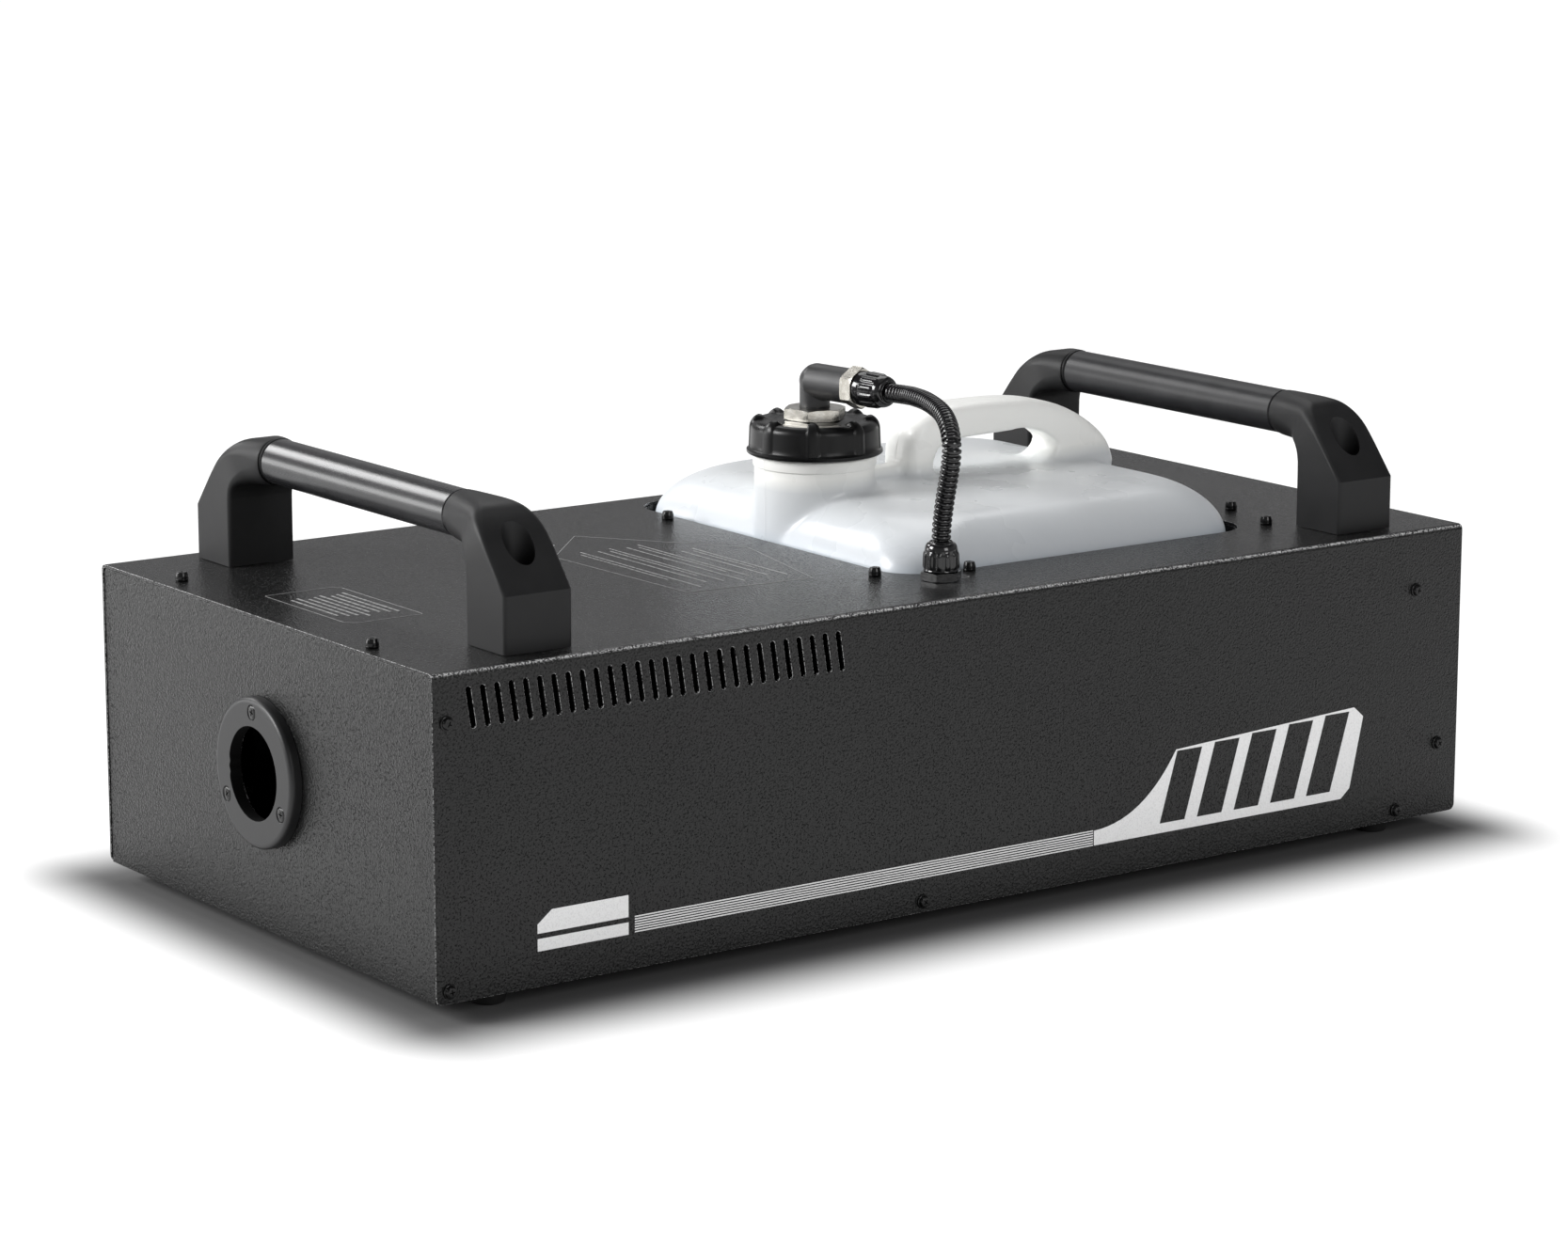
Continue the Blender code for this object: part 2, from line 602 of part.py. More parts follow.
def make_fitting():
    """Nut, elbow, collar and swivel nut on the cap."""
    nut_base = CAP_TOP + GAP
    nut_top = nut_base + NUT_H
    bm = new()
    hexagon(bm, (NECK_X, NECK_Y, nut_base), (NECK_X, NECK_Y, nut_top), NUT_AF, math.radians(18))
    nut = finish(bm, "cap_nut", "nickel")
    tool = new()
    rod(tool, (NECK_X, NECK_Y, nut_base - 0.01), (NECK_X, NECK_Y, nut_top + 0.01), 0.0080, 32)
    cut(nut, tool)

    bm = new()
    rod(bm, (NECK_X, NECK_Y, CAP_BOTTOM - 0.002), (NECK_X, NECK_Y, nut_top + 0.004), 0.0077, 20)
    elbow = finish(bm, "elbow", "nylon_black")
    part = new()
    rod(part, (NECK_X, NECK_Y, nut_top + GAP), (NECK_X, NECK_Y, ELBOW_Z + 0.002), STUB_R, 24)
    elbow = weld(elbow, part)
    part = new()
    turned(part, elbow_point(0), elbow_point(1) - elbow_point(0),
           [(-0.0079, 0.0036), (-0.0068, 0.0058), (-0.0045, 0.0079), (-0.0015, 0.0090),
            (0.0010, BARREL_R), (0.0275, BARREL_R)], 28)
    elbow = weld(elbow, part)
    part = new()
    rod(part, elbow_point(0.010), elbow_point(0.0460), 0.0062, 20)
    elbow = weld(elbow, part)
    bore = new()
    rod(bore, (NECK_X, NECK_Y, CAP_BOTTOM - 0.01), (NECK_X, NECK_Y, ELBOW_Z), BORE_R, 20)
    elbow = cut(elbow, bore)
    bore = new()
    rod(bore, elbow_point(-0.0030), elbow_point(0.06), BORE_R, 20)
    cut(elbow, bore)

    bm = new()
    hexagon(bm, elbow_point(0.0278), elbow_point(0.0355), 0.0190, math.radians(30))
    collar = finish(bm, "elbow_collar", "nickel")
    tool = new()
    rod(tool, elbow_point(0.0), elbow_point(0.06), 0.0065, 32)
    cut(collar, tool)
    axis = elbow_point(1) - elbow_point(0)
    fluted_nut("hose_nut", elbow_point(0.0358), axis, 0.0190, 0.0040)


def flute_shape(angle):
    """Radius factor of a fluted nut."""
    phase = (angle * 12 / (2 * math.pi)) % 1.0
    return 0.955 if phase < 0.34 else 1.0


def fluted_nut(name, origin, direction, length, plain):
    """Domed swivel nut, open both ends; plain is the smooth length before the flutes."""
    axis = Vector(direction).normalized()
    origin = Vector(origin)
    step = length * 0.58
    plan = [(0.0, 0.0090, False), (plain, 0.0092, False), (plain + 0.0012, 0.0092, True),
            (length - 0.0062, 0.0092, True), (length - 0.0048, 0.0088, False),
            (length - 0.0022, 0.0078, False), (length - 0.0005, 0.0064, False),
            (length, 0.0060, False), (length, 0.0053, False), (step, 0.0053, False),
            (step, 0.0066, False), (0.0, 0.0066, False)]
    loops = [circle(origin + axis * along, axis, radius, 36, 0, flute_shape if fluted else None)
             for along, radius, fluted in plan]
    bm = new()
    loft(bm, loops, closed=True)
    return finish(bm, name, "conduit_black")


def hose_points():
    """Centre line of the hose from the elbow to the deck gland."""
    return [elbow_point(0.0480), elbow_point(0.0530), elbow_point(0.0570),
            (0.0500, 0.0318, Z0 + 0.2358), (0.0620, 0.0280, Z0 + 0.2368),
            (0.0800, 0.0226, Z0 + 0.2370), (0.1030, 0.0136, Z0 + 0.2355),
            (0.1180, 0.0064, Z0 + 0.2315), (0.1262, 0.0020, Z0 + 0.2245),
            (0.1268, 0.0014, Z0 + 0.2160), (0.1250, 0.0015, Z0 + 0.2080),
            (0.1218, 0.0017, Z0 + 0.1960), (0.1192, 0.0020, Z0 + 0.1840),
            (GLAND_X, GLAND_Y, Z0 + 0.1755), (GLAND_X, GLAND_Y, Z0 + 0.1700),
            (GLAND_X, GLAND_Y, Z0 + 0.1665)]


def make_pickup():
    """Suction tube and foot filter inside the tank."""
    top = CAP_BOTTOM + 0.010
    bottom = TANK_BOTTOM + 0.014
    bm = new()
    turned(bm, (NECK_X, NECK_Y, bottom), (0, 0, 1),
           [(0, 0.0032), (top - bottom, 0.0032), (top - bottom, 0.0020), (0, 0.0020)],
           16, closed=True)
    finish(bm, "pickup_tube", "line_natural")
    bm = new()
    turned(bm, (NECK_X, NECK_Y, TANK_BOTTOM + 0.006), (0, 0, 1),
           [(0, 0.0085), (0.001, 0.0095), (0.020, 0.0095), (0.024, 0.0060), (0.030, 0.0060),
            (0.030, 0.0035), (0.0055, 0.0035), (0.0055, 0.0075), (0.0030, 0.0075), (0.0030, 0.0020),
            (0.0, 0.0020)], 14, closed=True)
    finish(bm, "pickup_filter", "brass")


def make_gland():
    """Deck gland body and its nut."""
    low, seat = DECK - 0.014, DECK + GAP
    bm = new()
    hexagon(bm, (GLAND_X, GLAND_Y, seat), (GLAND_X, GLAND_Y, seat + 0.0042), GLAND_AF, 0.35)
    gland = finish(bm, "gland_body", "conduit_black")
    part = new()
    rod(part, (GLAND_X, GLAND_Y, low), (GLAND_X, GLAND_Y, seat + 0.0100), 0.0061, 28)
    gland = weld(gland, part)
    tool = new()
    rod(tool, (GLAND_X, GLAND_Y, low - 0.01), (GLAND_X, GLAND_Y, DECK + 0.03), BORE_R, 20)
    cut(gland, tool)
    fluted_nut("gland_nut", (GLAND_X, GLAND_Y, seat + 0.0045), (0, 0, 1), 0.0148, 0.0006)


# ================================= handles ===================================
def shank_section(inner, outer, half_depth, corner, y):
    """Rounded rectangle between an inner and an outer (x, z) point."""
    mid = Vector(((inner[0] + outer[0]) / 2, y, (inner[1] + outer[1]) / 2))
    reach = Vector(((outer[0] - inner[0]) / 2, 0, (outer[1] - inner[1]) / 2))
    half = reach.length
    along = reach.normalized()
    corner = min(corner, half, half_depth)
    loop = []
    quarters = ((1, 1, 0), (-1, 1, 1), (-1, -1, 2), (1, -1, 3))
    for sign_u, sign_v, quarter in quarters:
        for step in range(6):
            angle = math.pi / 2 * (quarter + step / 5)
            u = sign_u * (half - corner) + corner * math.cos(angle)
            v = sign_v * (half_depth - corner) + corner * math.sin(angle)
            loop.append(mid + u * along + Vector((0, v, 0)))
    return loop


# Stations up a shank: inner (x, z), outer (x, z), half depth and corner radius. Heights are
# from the deck; x is from the middle of the foot, and the last two follow the tube's end.
SHANK_STATIONS = (
    ((-0.0170, 0.0000), (0.0170, 0.0000), SHANK_D / 2, 0.0024),
    ((-0.0170, 0.0275), (0.0170, 0.0275), SHANK_D / 2, 0.0024),
    ((-0.0171, 0.0340), (0.0097, 0.0365), SHANK_D / 2, 0.0024),
    ((-0.0180, 0.0385), (0.0014, 0.0467), SHANK_D / 2, 0.0026),
    ((-0.0203, 0.0415), (-0.0050, 0.0545), 0.0182, 0.0034),
    ((-0.0240, 0.0428), (-0.0120, 0.0608), 0.0170, 0.0055),
    ((-0.0290, 0.0431), (-0.0197, 0.0648), 0.0150, 0.0085),
)


def make_shank(name, side, handle_y):
    """Moulded leg: square foot, slanted outer face, elbow into the tube."""
    foot = DECK + GAP
    tube_end = TUBE_SHIFT + side * TUBE_HALF
    arm = 0.0118
    stations = [(side * (SHANK_X + a[0]), a[1], side * (SHANK_X + b[0]), b[1], depth, corner)
                for a, b, depth, corner in SHANK_STATIONS]
    middle = (tube_end + side * (SHANK_X - 0.0330)) / 2
    arm_z = TUBE_Z - foot
    stations.append((middle - side * 0.0014, arm_z - arm, middle + side * 0.0014, arm_z + arm - 0.0003,
                     0.0128, 0.0108))
    stations.append((tube_end, arm_z - arm, tube_end, arm_z + arm, arm, arm))
    loops = [shank_section((x0, foot + z0), (x1, foot + z1), depth, corner, handle_y)
             for x0, z0, x1, z1, depth, corner in stations]
    bm = new()
    loft(bm, loops)
    shank = finish(bm, name, "nylon_black")
    tool = new()
    turned(tool, (side * SHANK_X, handle_y, foot - 0.010), (0, 0, 1),
           [(0, 0.0044), (0.024, 0.0044), (0.024, 0.0077), (0.100, 0.0077)], 20)
    shank = cut(shank, tool)
    tool = new()
    rod(tool, (tube_end - side * 0.010, handle_y, TUBE_Z), (tube_end + side * 0.012, handle_y, TUBE_Z),
        0.0080, 20)
    return cut(shank, tool)


def make_handle(prefix, handle_y):
    """Tube carried by two shanks, each held down by a socket screw."""
    length = 2 * TUBE_HALF - 2 * GAP
    plug = 0.011
    bm = new()
    turned(bm, (TUBE_SHIFT - length / 2 - plug, handle_y, TUBE_Z), (1, 0, 0),
           [(0, 0.0077), (plug, 0.0077), (plug, TUBE_R), (plug + length, TUBE_R),
            (plug + length, 0.0077), (2 * plug + length, 0.0077), (2 * plug + length, 0.0060),
            (0, 0.0060)], 28, closed=True)
    finish(bm, prefix + "_tube", "tube_black")
    for label, side in (("left", -1), ("right", 1)):
        make_shank(f"{prefix}_shank_{label}", side, handle_y)
        head = DECK + GAP + 0.014 + GAP
        bm = new()
        turned(bm, (side * SHANK_X, handle_y, DECK - 0.014), (0, 0, 1),
               [(0, 0.0032), (0.001, 0.0040), (head - DECK + 0.014, 0.0040),
                (head - DECK + 0.014, 0.0065), (head - DECK + 0.0215, 0.0065),
                (head - DECK + 0.022, 0.0060), (head - DECK + 0.022, 0.0034),
                (head - DECK + 0.018, 0.0034)], 12)
        finish(bm, f"{prefix}_screw_{label}", "steel_bare")


# ================================ fog outlet =================================
def ring_screw_centres():
    """Centres of the three ring screws as (x, z)."""
    return [(OUT_X + RING_SCREW_PCD * math.cos(math.radians(a)),
             OUT_Z + RING_SCREW_PCD * math.sin(math.radians(a))) for a in (90, 210, 330)]


def make_outlet():
    """Ring on the front panel with three countersunk screws."""
    face = -CASE_L / 2 + 0.0005 - GAP
    bm = new()
    turned(bm, (OUT_X, face, OUT_Z), (0, -1, 0),
           [(0, RING_R), (RING_T - 0.0025, RING_R), (RING_T - 0.0008, RING_R - 0.0012),
            (RING_T, RING_R - 0.0034), (RING_T, RING_HOLE_R + 0.0012),
            (RING_T - 0.0012, RING_HOLE_R), (0, RING_HOLE_R)], 40, closed=True)
    ring = finish(bm, "outlet_ring", "nylon_black")
    tool = new()
    for x, z in ring_screw_centres():
        turned(tool, (x, face + 0.01, z), (0, -1, 0),
               [(0, 0.0019), (0.01 + RING_T - 0.0030, 0.0019), (0.01 + RING_T + 0.0003, 0.0040),
                (0.01 + RING_T + 0.002, 0.0040)], 14)
    cut(ring, tool)
    for (x, z), label in zip(ring_screw_centres(), ("top", "left", "right")):
        bm = new()
        turned(bm, (x, face, z), (0, -1, 0),
               [(-0.008, 0.0010), (-0.007, 0.0015), (RING_T - 0.0030, 0.0015),
                (RING_T - 0.0006, 0.0031), (RING_T - 0.0002, 0.0031), (RING_T - 0.0002, 0.0012),
                (RING_T - 0.0012, 0.0008)], 12)
        finish(bm, f"ring_screw_{label}", "screw_black")


# ============================ heater and pump ================================
def make_heater():
    """Vaporiser block, cartridge heaters, stands, shield, nozzle, cut-out."""
    bm = new()
    box(bm, OUT_X - HEATER_HALF, OUT_X + HEATER_HALF, HEATER_Y0, HEATER_Y1, HEATER_Z0, HEATER_Z1)
    block = finish(bm, "heater_block", "heater_alloy")
    tool = new()
    rod(tool, (OUT_X, -0.30, OUT_Z), (OUT_X, -0.04, OUT_Z), 0.0034, 20)
    block = cut(block, tool)
    tool = new()
    rod(tool, (OUT_X, -0.30, OUT_Z), (OUT_X, HEATER_Y0 + 0.014, OUT_Z), 0.0074, 24)
    for side in (-1, 1):
        rod(tool, (OUT_X + side * 0.028, HEATER_Y0 + 0.012, OUT_Z),
            (OUT_X + side * 0.028, -0.04, OUT_Z), 0.0063, 24)
    cut(block, tool)
    for label, side in (("left", -1), ("right", 1)):
        x = OUT_X + side * 0.028
        bm = new()
        turned(bm, (x, HEATER_Y0 + 0.013, OUT_Z), (0, 1, 0),
               [(0, 0.0060), (0.224, 0.0060), (0.224, 0.0046), (0.230, 0.0046)], 20)
        finish(bm, f"heater_rod_{label}", "steel_bare")
    bm = new()
    turned(bm, (OUT_X, -0.306, OUT_Z), (0, 1, 0),
           [(0, 0.0040), (0.004, 0.0060), (0.012, 0.0070), (0.034, 0.0070), (0.034, 0.0016),
            (0, 0.0016)], 16, closed=True)
    finish(bm, "nozzle", "brass")
    for label, y in (("front", -0.262), ("rear", -0.102)):
        low, high, t = Z0 + GAP + SHEET + GAP, HEATER_Z0 - GAP, 0.002
        outline = [(OUT_X - 0.040, low), (OUT_X - 0.040 + t, low), (OUT_X - 0.040 + t, high - t),
                   (OUT_X + 0.040 - t, high - t), (OUT_X + 0.040 - t, low), (OUT_X + 0.040, low),
                   (OUT_X + 0.040, high), (OUT_X - 0.040, high)]
        bm = new()
        prism_y(bm, outline, y, y + 0.024)
        finish(bm, f"heater_stand_{label}", "steel_bare")
    low, high, t, half = Z0 + GAP + SHEET + GAP, HEATER_Z1 + 0.014, 0.001, HEATER_HALF + 0.012
    outline = [(OUT_X - half, low), (OUT_X - half + t, low), (OUT_X - half + t, high - t),
               (OUT_X + half - t, high - t), (OUT_X + half - t, low), (OUT_X + half, low),
               (OUT_X + half, high), (OUT_X - half, high)]
    bm = new()
    prism_y(bm, outline, HEATER_Y0 - 0.006, HEATER_Y1 + 0.006)
    finish(bm, "heater_shield", "steel_bare")
    bm = new()
    turned(bm, (OUT_X, -0.150, HEATER_Z1 + GAP), (0, 0, 1),
           [(0, 0.0120), (0.0012, 0.0120), (0.0012, 0.0080), (0.0080, 0.0080), (0.0080, 0.0030),
            (0.0110, 0.0030)], 16)
    finish(bm, "thermal_cutout", "fitting_black")


def make_pump():
    """Solenoid piston pump, its bracket, plunger and fluid lines."""
    bm = new()
    box(bm, PUMP_X - 0.019, PUMP_X + 0.019, PUMP_Y0, PUMP_Y1, PUMP_Z - 0.019, PUMP_Z + 0.019)
    pump = finish(bm, "pump_body", "fitting_black")
    part = new()
    turned(part, (PUMP_X, PUMP_Y0 - 0.018, PUMP_Z), (0, 1, 0),
           [(0, 0.0050), (0.008, 0.0050), (0.008, 0.0105), (0.088, 0.0105), (0.088, 0.0050),
            (0.098, 0.0050)], 16)
    pump = weld(pump, part)
    tool = new()
    rod(tool, (PUMP_X, PUMP_Y0 - 0.03, PUMP_Z), (PUMP_X, PUMP_Y1 + 0.04, PUMP_Z), 0.0033, 12)
    pump = cut(pump, tool)
    tool = new()
    rod(tool, (PUMP_X, PUMP_Y0 + 0.010, PUMP_Z), (PUMP_X, PUMP_Y1 - 0.010, PUMP_Z), 0.0078, 16)
    cut(pump, tool)
    bm = new()
    turned(bm, (PUMP_X, PUMP_Y0 + 0.018, PUMP_Z), (0, 1, 0),
           [(0, 0.0075), (0.026, 0.0075), (0.026, 0.0018), (0, 0.0018)], 24, closed=True)
    finish(bm, "pump_plunger", "steel_bare")
    low, high, t = Z0 + GAP + SHEET + GAP, PUMP_Z - 0.019 - GAP, 0.0015
    outline = [(PUMP_X - 0.018, low), (PUMP_X + 0.018, low), (PUMP_X + 0.018, low + t),
               (PUMP_X - 0.018 + t, low + t), (PUMP_X - 0.018 + t, high - t),
               (PUMP_X + 0.018, high - t), (PUMP_X + 0.018, high), (PUMP_X - 0.018, high)]
    bm = new()
    prism_y(bm, outline, PUMP_Y0 + 0.012, PUMP_Y1 - 0.012)
    finish(bm, "pump_bracket", "steel_bare")
    pipe("suction_line", [(GLAND_X, GLAND_Y, DECK + 0.004), (GLAND_X, GLAND_Y, DECK - 0.008),
                          (GLAND_X, GLAND_Y, DECK - 0.020), (0.1230, 0.0120, DECK - 0.040),
                          (0.1310, 0.0450, DECK - 0.052), (0.1310, 0.1050, DECK - 0.056),
                          (0.1310, 0.1420, DECK - 0.068), (0.1310, 0.1500, PUMP_Z + 0.010),
                          (0.1310, 0.1380, PUMP_Z), (0.1310, 0.1290, PUMP_Z),
                          (0.1310, 0.1220, PUMP_Z), (0.1310, 0.1120, PUMP_Z)],
         0.0030, 0.0020, "line_natural", 3, 8)
    pipe("pressure_line", [(PUMP_X, PUMP_Y0 - 0.006, PUMP_Z), (PUMP_X, PUMP_Y0 - 0.019, PUMP_Z),
                           (PUMP_X, PUMP_Y0 - 0.026, PUMP_Z),
                           (PUMP_X - 0.003, 0.0000, PUMP_Z + 0.002), (0.112, -0.0240, 0.078),
                           (0.080, -0.0330, 0.085), (0.030, -0.0330, OUT_Z),
                           (0.0075, -0.0360, OUT_Z), (OUT_X, -0.0440, OUT_Z),
                           (OUT_X, -0.0510, OUT_Z), (OUT_X, -0.0590, OUT_Z),
                           (OUT_X, -0.0650, OUT_Z)],
         0.0030, 0.0020, "steel_bare", 3, 8)


# ============================ electrics and rear =============================
def make_electrics():
    """Control board on its bracket, transformer and terminal block."""
    floor = Z0 + GAP + SHEET + GAP
    back = CASE_L / 2 - 0.0005 - SHEET - GAP
    shelf = 0.096
    bm = new()
    outline = [(back, shelf), (back, shelf + 0.030), (back - SHEET, shelf + 0.030),
               (back - SHEET, shelf + SHEET), (0.252, shelf + SHEET), (0.252, shelf)]
    loft(bm, [[(-0.070, y, z) for y, z in outline], [(0.070, y, z) for y, z in outline]])
    bracket = finish(bm, "board_bracket", "steel_bare")
    for x in (-0.062, 0.062):
        for y in (0.258, 0.300):
            part = new()
            rod(part, (x, y, shelf + SHEET / 2), (x, y, shelf + 0.0070), 0.0025, 12)
            bracket = weld(bracket, part)
    board_z = shelf + 0.0070 + GAP
    bm = new()
    box(bm, -0.067, 0.067, 0.2535, 0.3050, board_z, board_z + 0.0016)
    board = finish(bm, "control_board", "board_green")
    parts = ((-0.050, -0.034, 0.262, 0.278, 0.014), (-0.020, 0.006, 0.264, 0.276, 0.006),
             (0.016, 0.034, 0.262, 0.290, 0.016), (0.044, 0.056, 0.268, 0.280, 0.010),
             (-0.044, -0.004, 0.288, 0.298, 0.011))
    for x0, x1, y0, y1, height in parts:
        part = new()
        box(part, x0, x1, y0, y1, board_z + 0.0008, board_z + 0.0016 + height)
        board = weld(board, part)
    bm = new()
    box(bm, 0.084, 0.136, 0.246, 0.298, floor, floor + 0.016)
    core = finish(bm, "transformer", "case_black")
    part = new()
    box(part, 0.090, 0.130, 0.256, 0.288, floor + 0.015, floor + 0.054)
    core = weld(core, part)
    part = new()
    box(part, 0.097, 0.123, 0.249, 0.295, floor + 0.0155, floor + 0.046)
    weld(core, part)
    bm = new()
    box(bm, -0.140, -0.080, 0.262, 0.284, floor, floor + 0.018)
    block = finish(bm, "terminal_block", "fitting_black")
    tool = new()
    for i in range(5):
        rod(tool, (-0.133 + 0.0115 * i, 0.273, floor + 0.006),
            (-0.133 + 0.0115 * i, 0.273, floor + 0.030), 0.0028, 12)
    cut(block, tool)


def make_rear_fittings():
    """Mains inlet, rocker switch, fuse holder and remote socket."""
    face = CASE_L / 2 - 0.0005 + GAP
    out = CASE_L / 2 + REAR_OUT
    bm = new()
    box(bm, INLET_X - 0.0245, INLET_X + 0.0245, face, face + 0.0032, REAR_Z - 0.0135,
        REAR_Z + 0.0135)
    inlet = finish(bm, "mains_inlet", "fitting_black")
    part = new()
    box(part, INLET_X - 0.0140, INLET_X + 0.0140, face - 0.024, face + 0.001, REAR_Z - 0.0100,
        REAR_Z + 0.0100)
    inlet = weld(inlet, part)
    tool = new()
    box(tool, INLET_X - 0.0120, INLET_X + 0.0120, face - 0.0150, face + 0.01, REAR_Z - 0.0078,
        REAR_Z + 0.0078)
    inlet = cut(inlet, tool)
    for dx, dz in ((-0.007, 0.002), (0, -0.002), (0.007, 0.002)):
        pin = new()
        box(pin, INLET_X + dx - 0.001, INLET_X + dx + 0.001, face - 0.0160, face - 0.002,
            REAR_Z + dz - 0.002, REAR_Z + dz + 0.002)
        inlet = weld(inlet, pin)

    bm = new()
    box(bm, SWITCH_X - 0.0140, SWITCH_X + 0.0140, face, face + 0.0030, REAR_Z - 0.0175,
        REAR_Z + 0.0175)
    frame = finish(bm, "switch_frame", "fitting_black")
    part = new()
    box(part, SWITCH_X - 0.0110, SWITCH_X + 0.0110, face - 0.026, face + 0.001, REAR_Z - 0.0145,
        REAR_Z + 0.0145)
    frame = weld(frame, part)
    tool = new()
    box(tool, SWITCH_X - 0.0090, SWITCH_X + 0.0090, face - 0.0160, face + 0.01, REAR_Z - 0.0125,
        REAR_Z + 0.0125)
    cut(frame, tool)
    pivot_y = face - 0.0060
    outline = []
    for angle in range(-56, 57, 14):
        a = math.radians(angle)
        reach = 0.0100 + 0.0010 * abs(angle) / 56
        outline.append((pivot_y + reach * math.cos(a), REAR_Z + reach * math.sin(a) * 1.12))
    outline += [(pivot_y - 0.0045, REAR_Z + 0.0050), (pivot_y - 0.0045, REAR_Z - 0.0050)]
    bm = new()
    loft(bm, [[(SWITCH_X - 0.0086, y, z) for y, z in outline],
              [(SWITCH_X + 0.0086, y, z) for y, z in outline]])
    finish(bm, "switch_rocker", "conduit_black")

    bm = new()
    turned(bm, (FUSE_X, face, REAR_Z), (0, 1, 0),
           [(-0.028, 0.0050), (-0.001, 0.0060), (0.0, 0.0060), (0.0, 0.0078), (0.0020, 0.0078),
            (0.0020, 0.0052), (-0.020, 0.0046)], 16)
    finish(bm, "fuse_holder", "fitting_black")
    bm = new()
    turned(bm, (FUSE_X, face, REAR_Z), (0, 1, 0),
           [(-0.018, 0.0035), (0.0023, 0.0042), (0.0023, 0.0070),
            (out - face - 0.0006, 0.0070), (out - face, 0.0062)], 28,
           shape=lambda a: 1.0 if math.cos(10 * a) > -0.3 else 0.97)
    cap = finish(bm, "fuse_cap", "fitting_black")
    tool = new()
    box(tool, FUSE_X - 0.0009, FUSE_X + 0.0009, out - 0.0016, out + 0.002, REAR_Z - 0.0045,
        REAR_Z + 0.0045)
    cut(cap, tool)

    bm = new()
    box(bm, SOCKET_X - 0.0130, SOCKET_X + 0.0130, face, face + 0.0022, REAR_Z - 0.0155,
        REAR_Z + 0.0155)
    socket = finish(bm, "remote_socket", "fitting_black")
    part = new()
    turned(part, (SOCKET_X, face - 0.020, REAR_Z), (0, 1, 0),
           [(0, 0.0115), (0.0210, 0.0115)], 20)
    socket = weld(socket, part)
    tool = new()
    turned(tool, (SOCKET_X, face - 0.0140, REAR_Z), (0, 1, 0), [(0, 0.0094), (0.03, 0.0094)], 20)
    socket = cut(socket, tool)
    for angle in (30, 150, 270):
        pin = new()
        x = SOCKET_X + 0.0050 * math.cos(math.radians(angle))
        z = REAR_Z + 0.0050 * math.sin(math.radians(angle))
        rod(pin, (x, face - 0.0145, z), (x, face - 0.004, z), 0.0012, 6)
        socket = weld(socket, pin)


# ================================= assembly ==================================
def clear_scene():
    """Start from an empty file."""
    for obj in list(bpy.data.objects):
        bpy.data.objects.remove(obj)


def shade():
    """Shade round faces smooth and keep the sharp edges crisp."""
    for obj in bpy.data.objects:
        if obj.type == "MESH":
            obj.data.shade_smooth()
            obj.data.set_sharp_from_angle(angle=SHARP_ANGLE)


def place_origins():
    """Put each origin where the piece turns, slides or is fastened."""
    rear = CASE_L / 2 - 0.0005 + GAP
    points = {
        "tank": (BAY_X, BAY_Y, TANK_BOTTOM),
        "tank_bay": (BAY_X, BAY_Y, BAY_FLOOR),
        "tank_cap": (NECK_X, NECK_Y, CAP_BOTTOM),
        "cap_nut": (NECK_X, NECK_Y, CAP_TOP + GAP),
        "elbow": elbow_point(0),
        "elbow_collar": elbow_point(0.0278),
        "hose_nut": elbow_point(0.0358),
        "hose": elbow_point(0.0480),
        "gland_body": (GLAND_X, GLAND_Y, DECK),
        "gland_nut": (GLAND_X, GLAND_Y, DECK + GAP + 0.0045),
        "outlet_ring": (OUT_X, -CASE_L / 2 + 0.0005 - GAP, OUT_Z),
        "heater_block": (OUT_X, HEATER_Y0, OUT_Z),
        "nozzle": (OUT_X, HEATER_Y0, OUT_Z),
        "pump_body": (PUMP_X, PUMP_Y0, PUMP_Z),
        "pump_plunger": (PUMP_X, PUMP_Y0 + 0.018, PUMP_Z),
        "mains_inlet": (INLET_X, rear, REAR_Z),
        "switch_frame": (SWITCH_X, rear, REAR_Z),
        "switch_rocker": (SWITCH_X, rear - 0.0060, REAR_Z),
        "fuse_holder": (FUSE_X, rear, REAR_Z),
        "fuse_cap": (FUSE_X, rear, REAR_Z),
        "remote_socket": (SOCKET_X, rear, REAR_Z),
    }
    for prefix, handle_y in (("front_handle", FRONT_HANDLE_Y), ("rear_handle", REAR_HANDLE_Y)):
        points[prefix + "_tube"] = (TUBE_SHIFT, handle_y, TUBE_Z)
        for label, side in (("left", -1), ("right", 1)):
            points[f"{prefix}_shank_{label}"] = (side * SHANK_X, handle_y, DECK + GAP)
            points[f"{prefix}_screw_{label}"] = (side * SHANK_X, handle_y, DECK + GAP + 0.014)
    for name, point in points.items():
        set_origin(bpy.data.objects[name], point)


def gather(name, point, children):
    """Empty that carries the named pieces."""
    carrier = bpy.data.objects.new(name, None)
    carrier.empty_display_size = 0.03
    carrier.location = point
    bpy.context.scene.collection.objects.link(carrier)
    for child_name in children:
        child = bpy.data.objects[child_name]
        child.parent = carrier
        child.location = child.location - Vector(point)


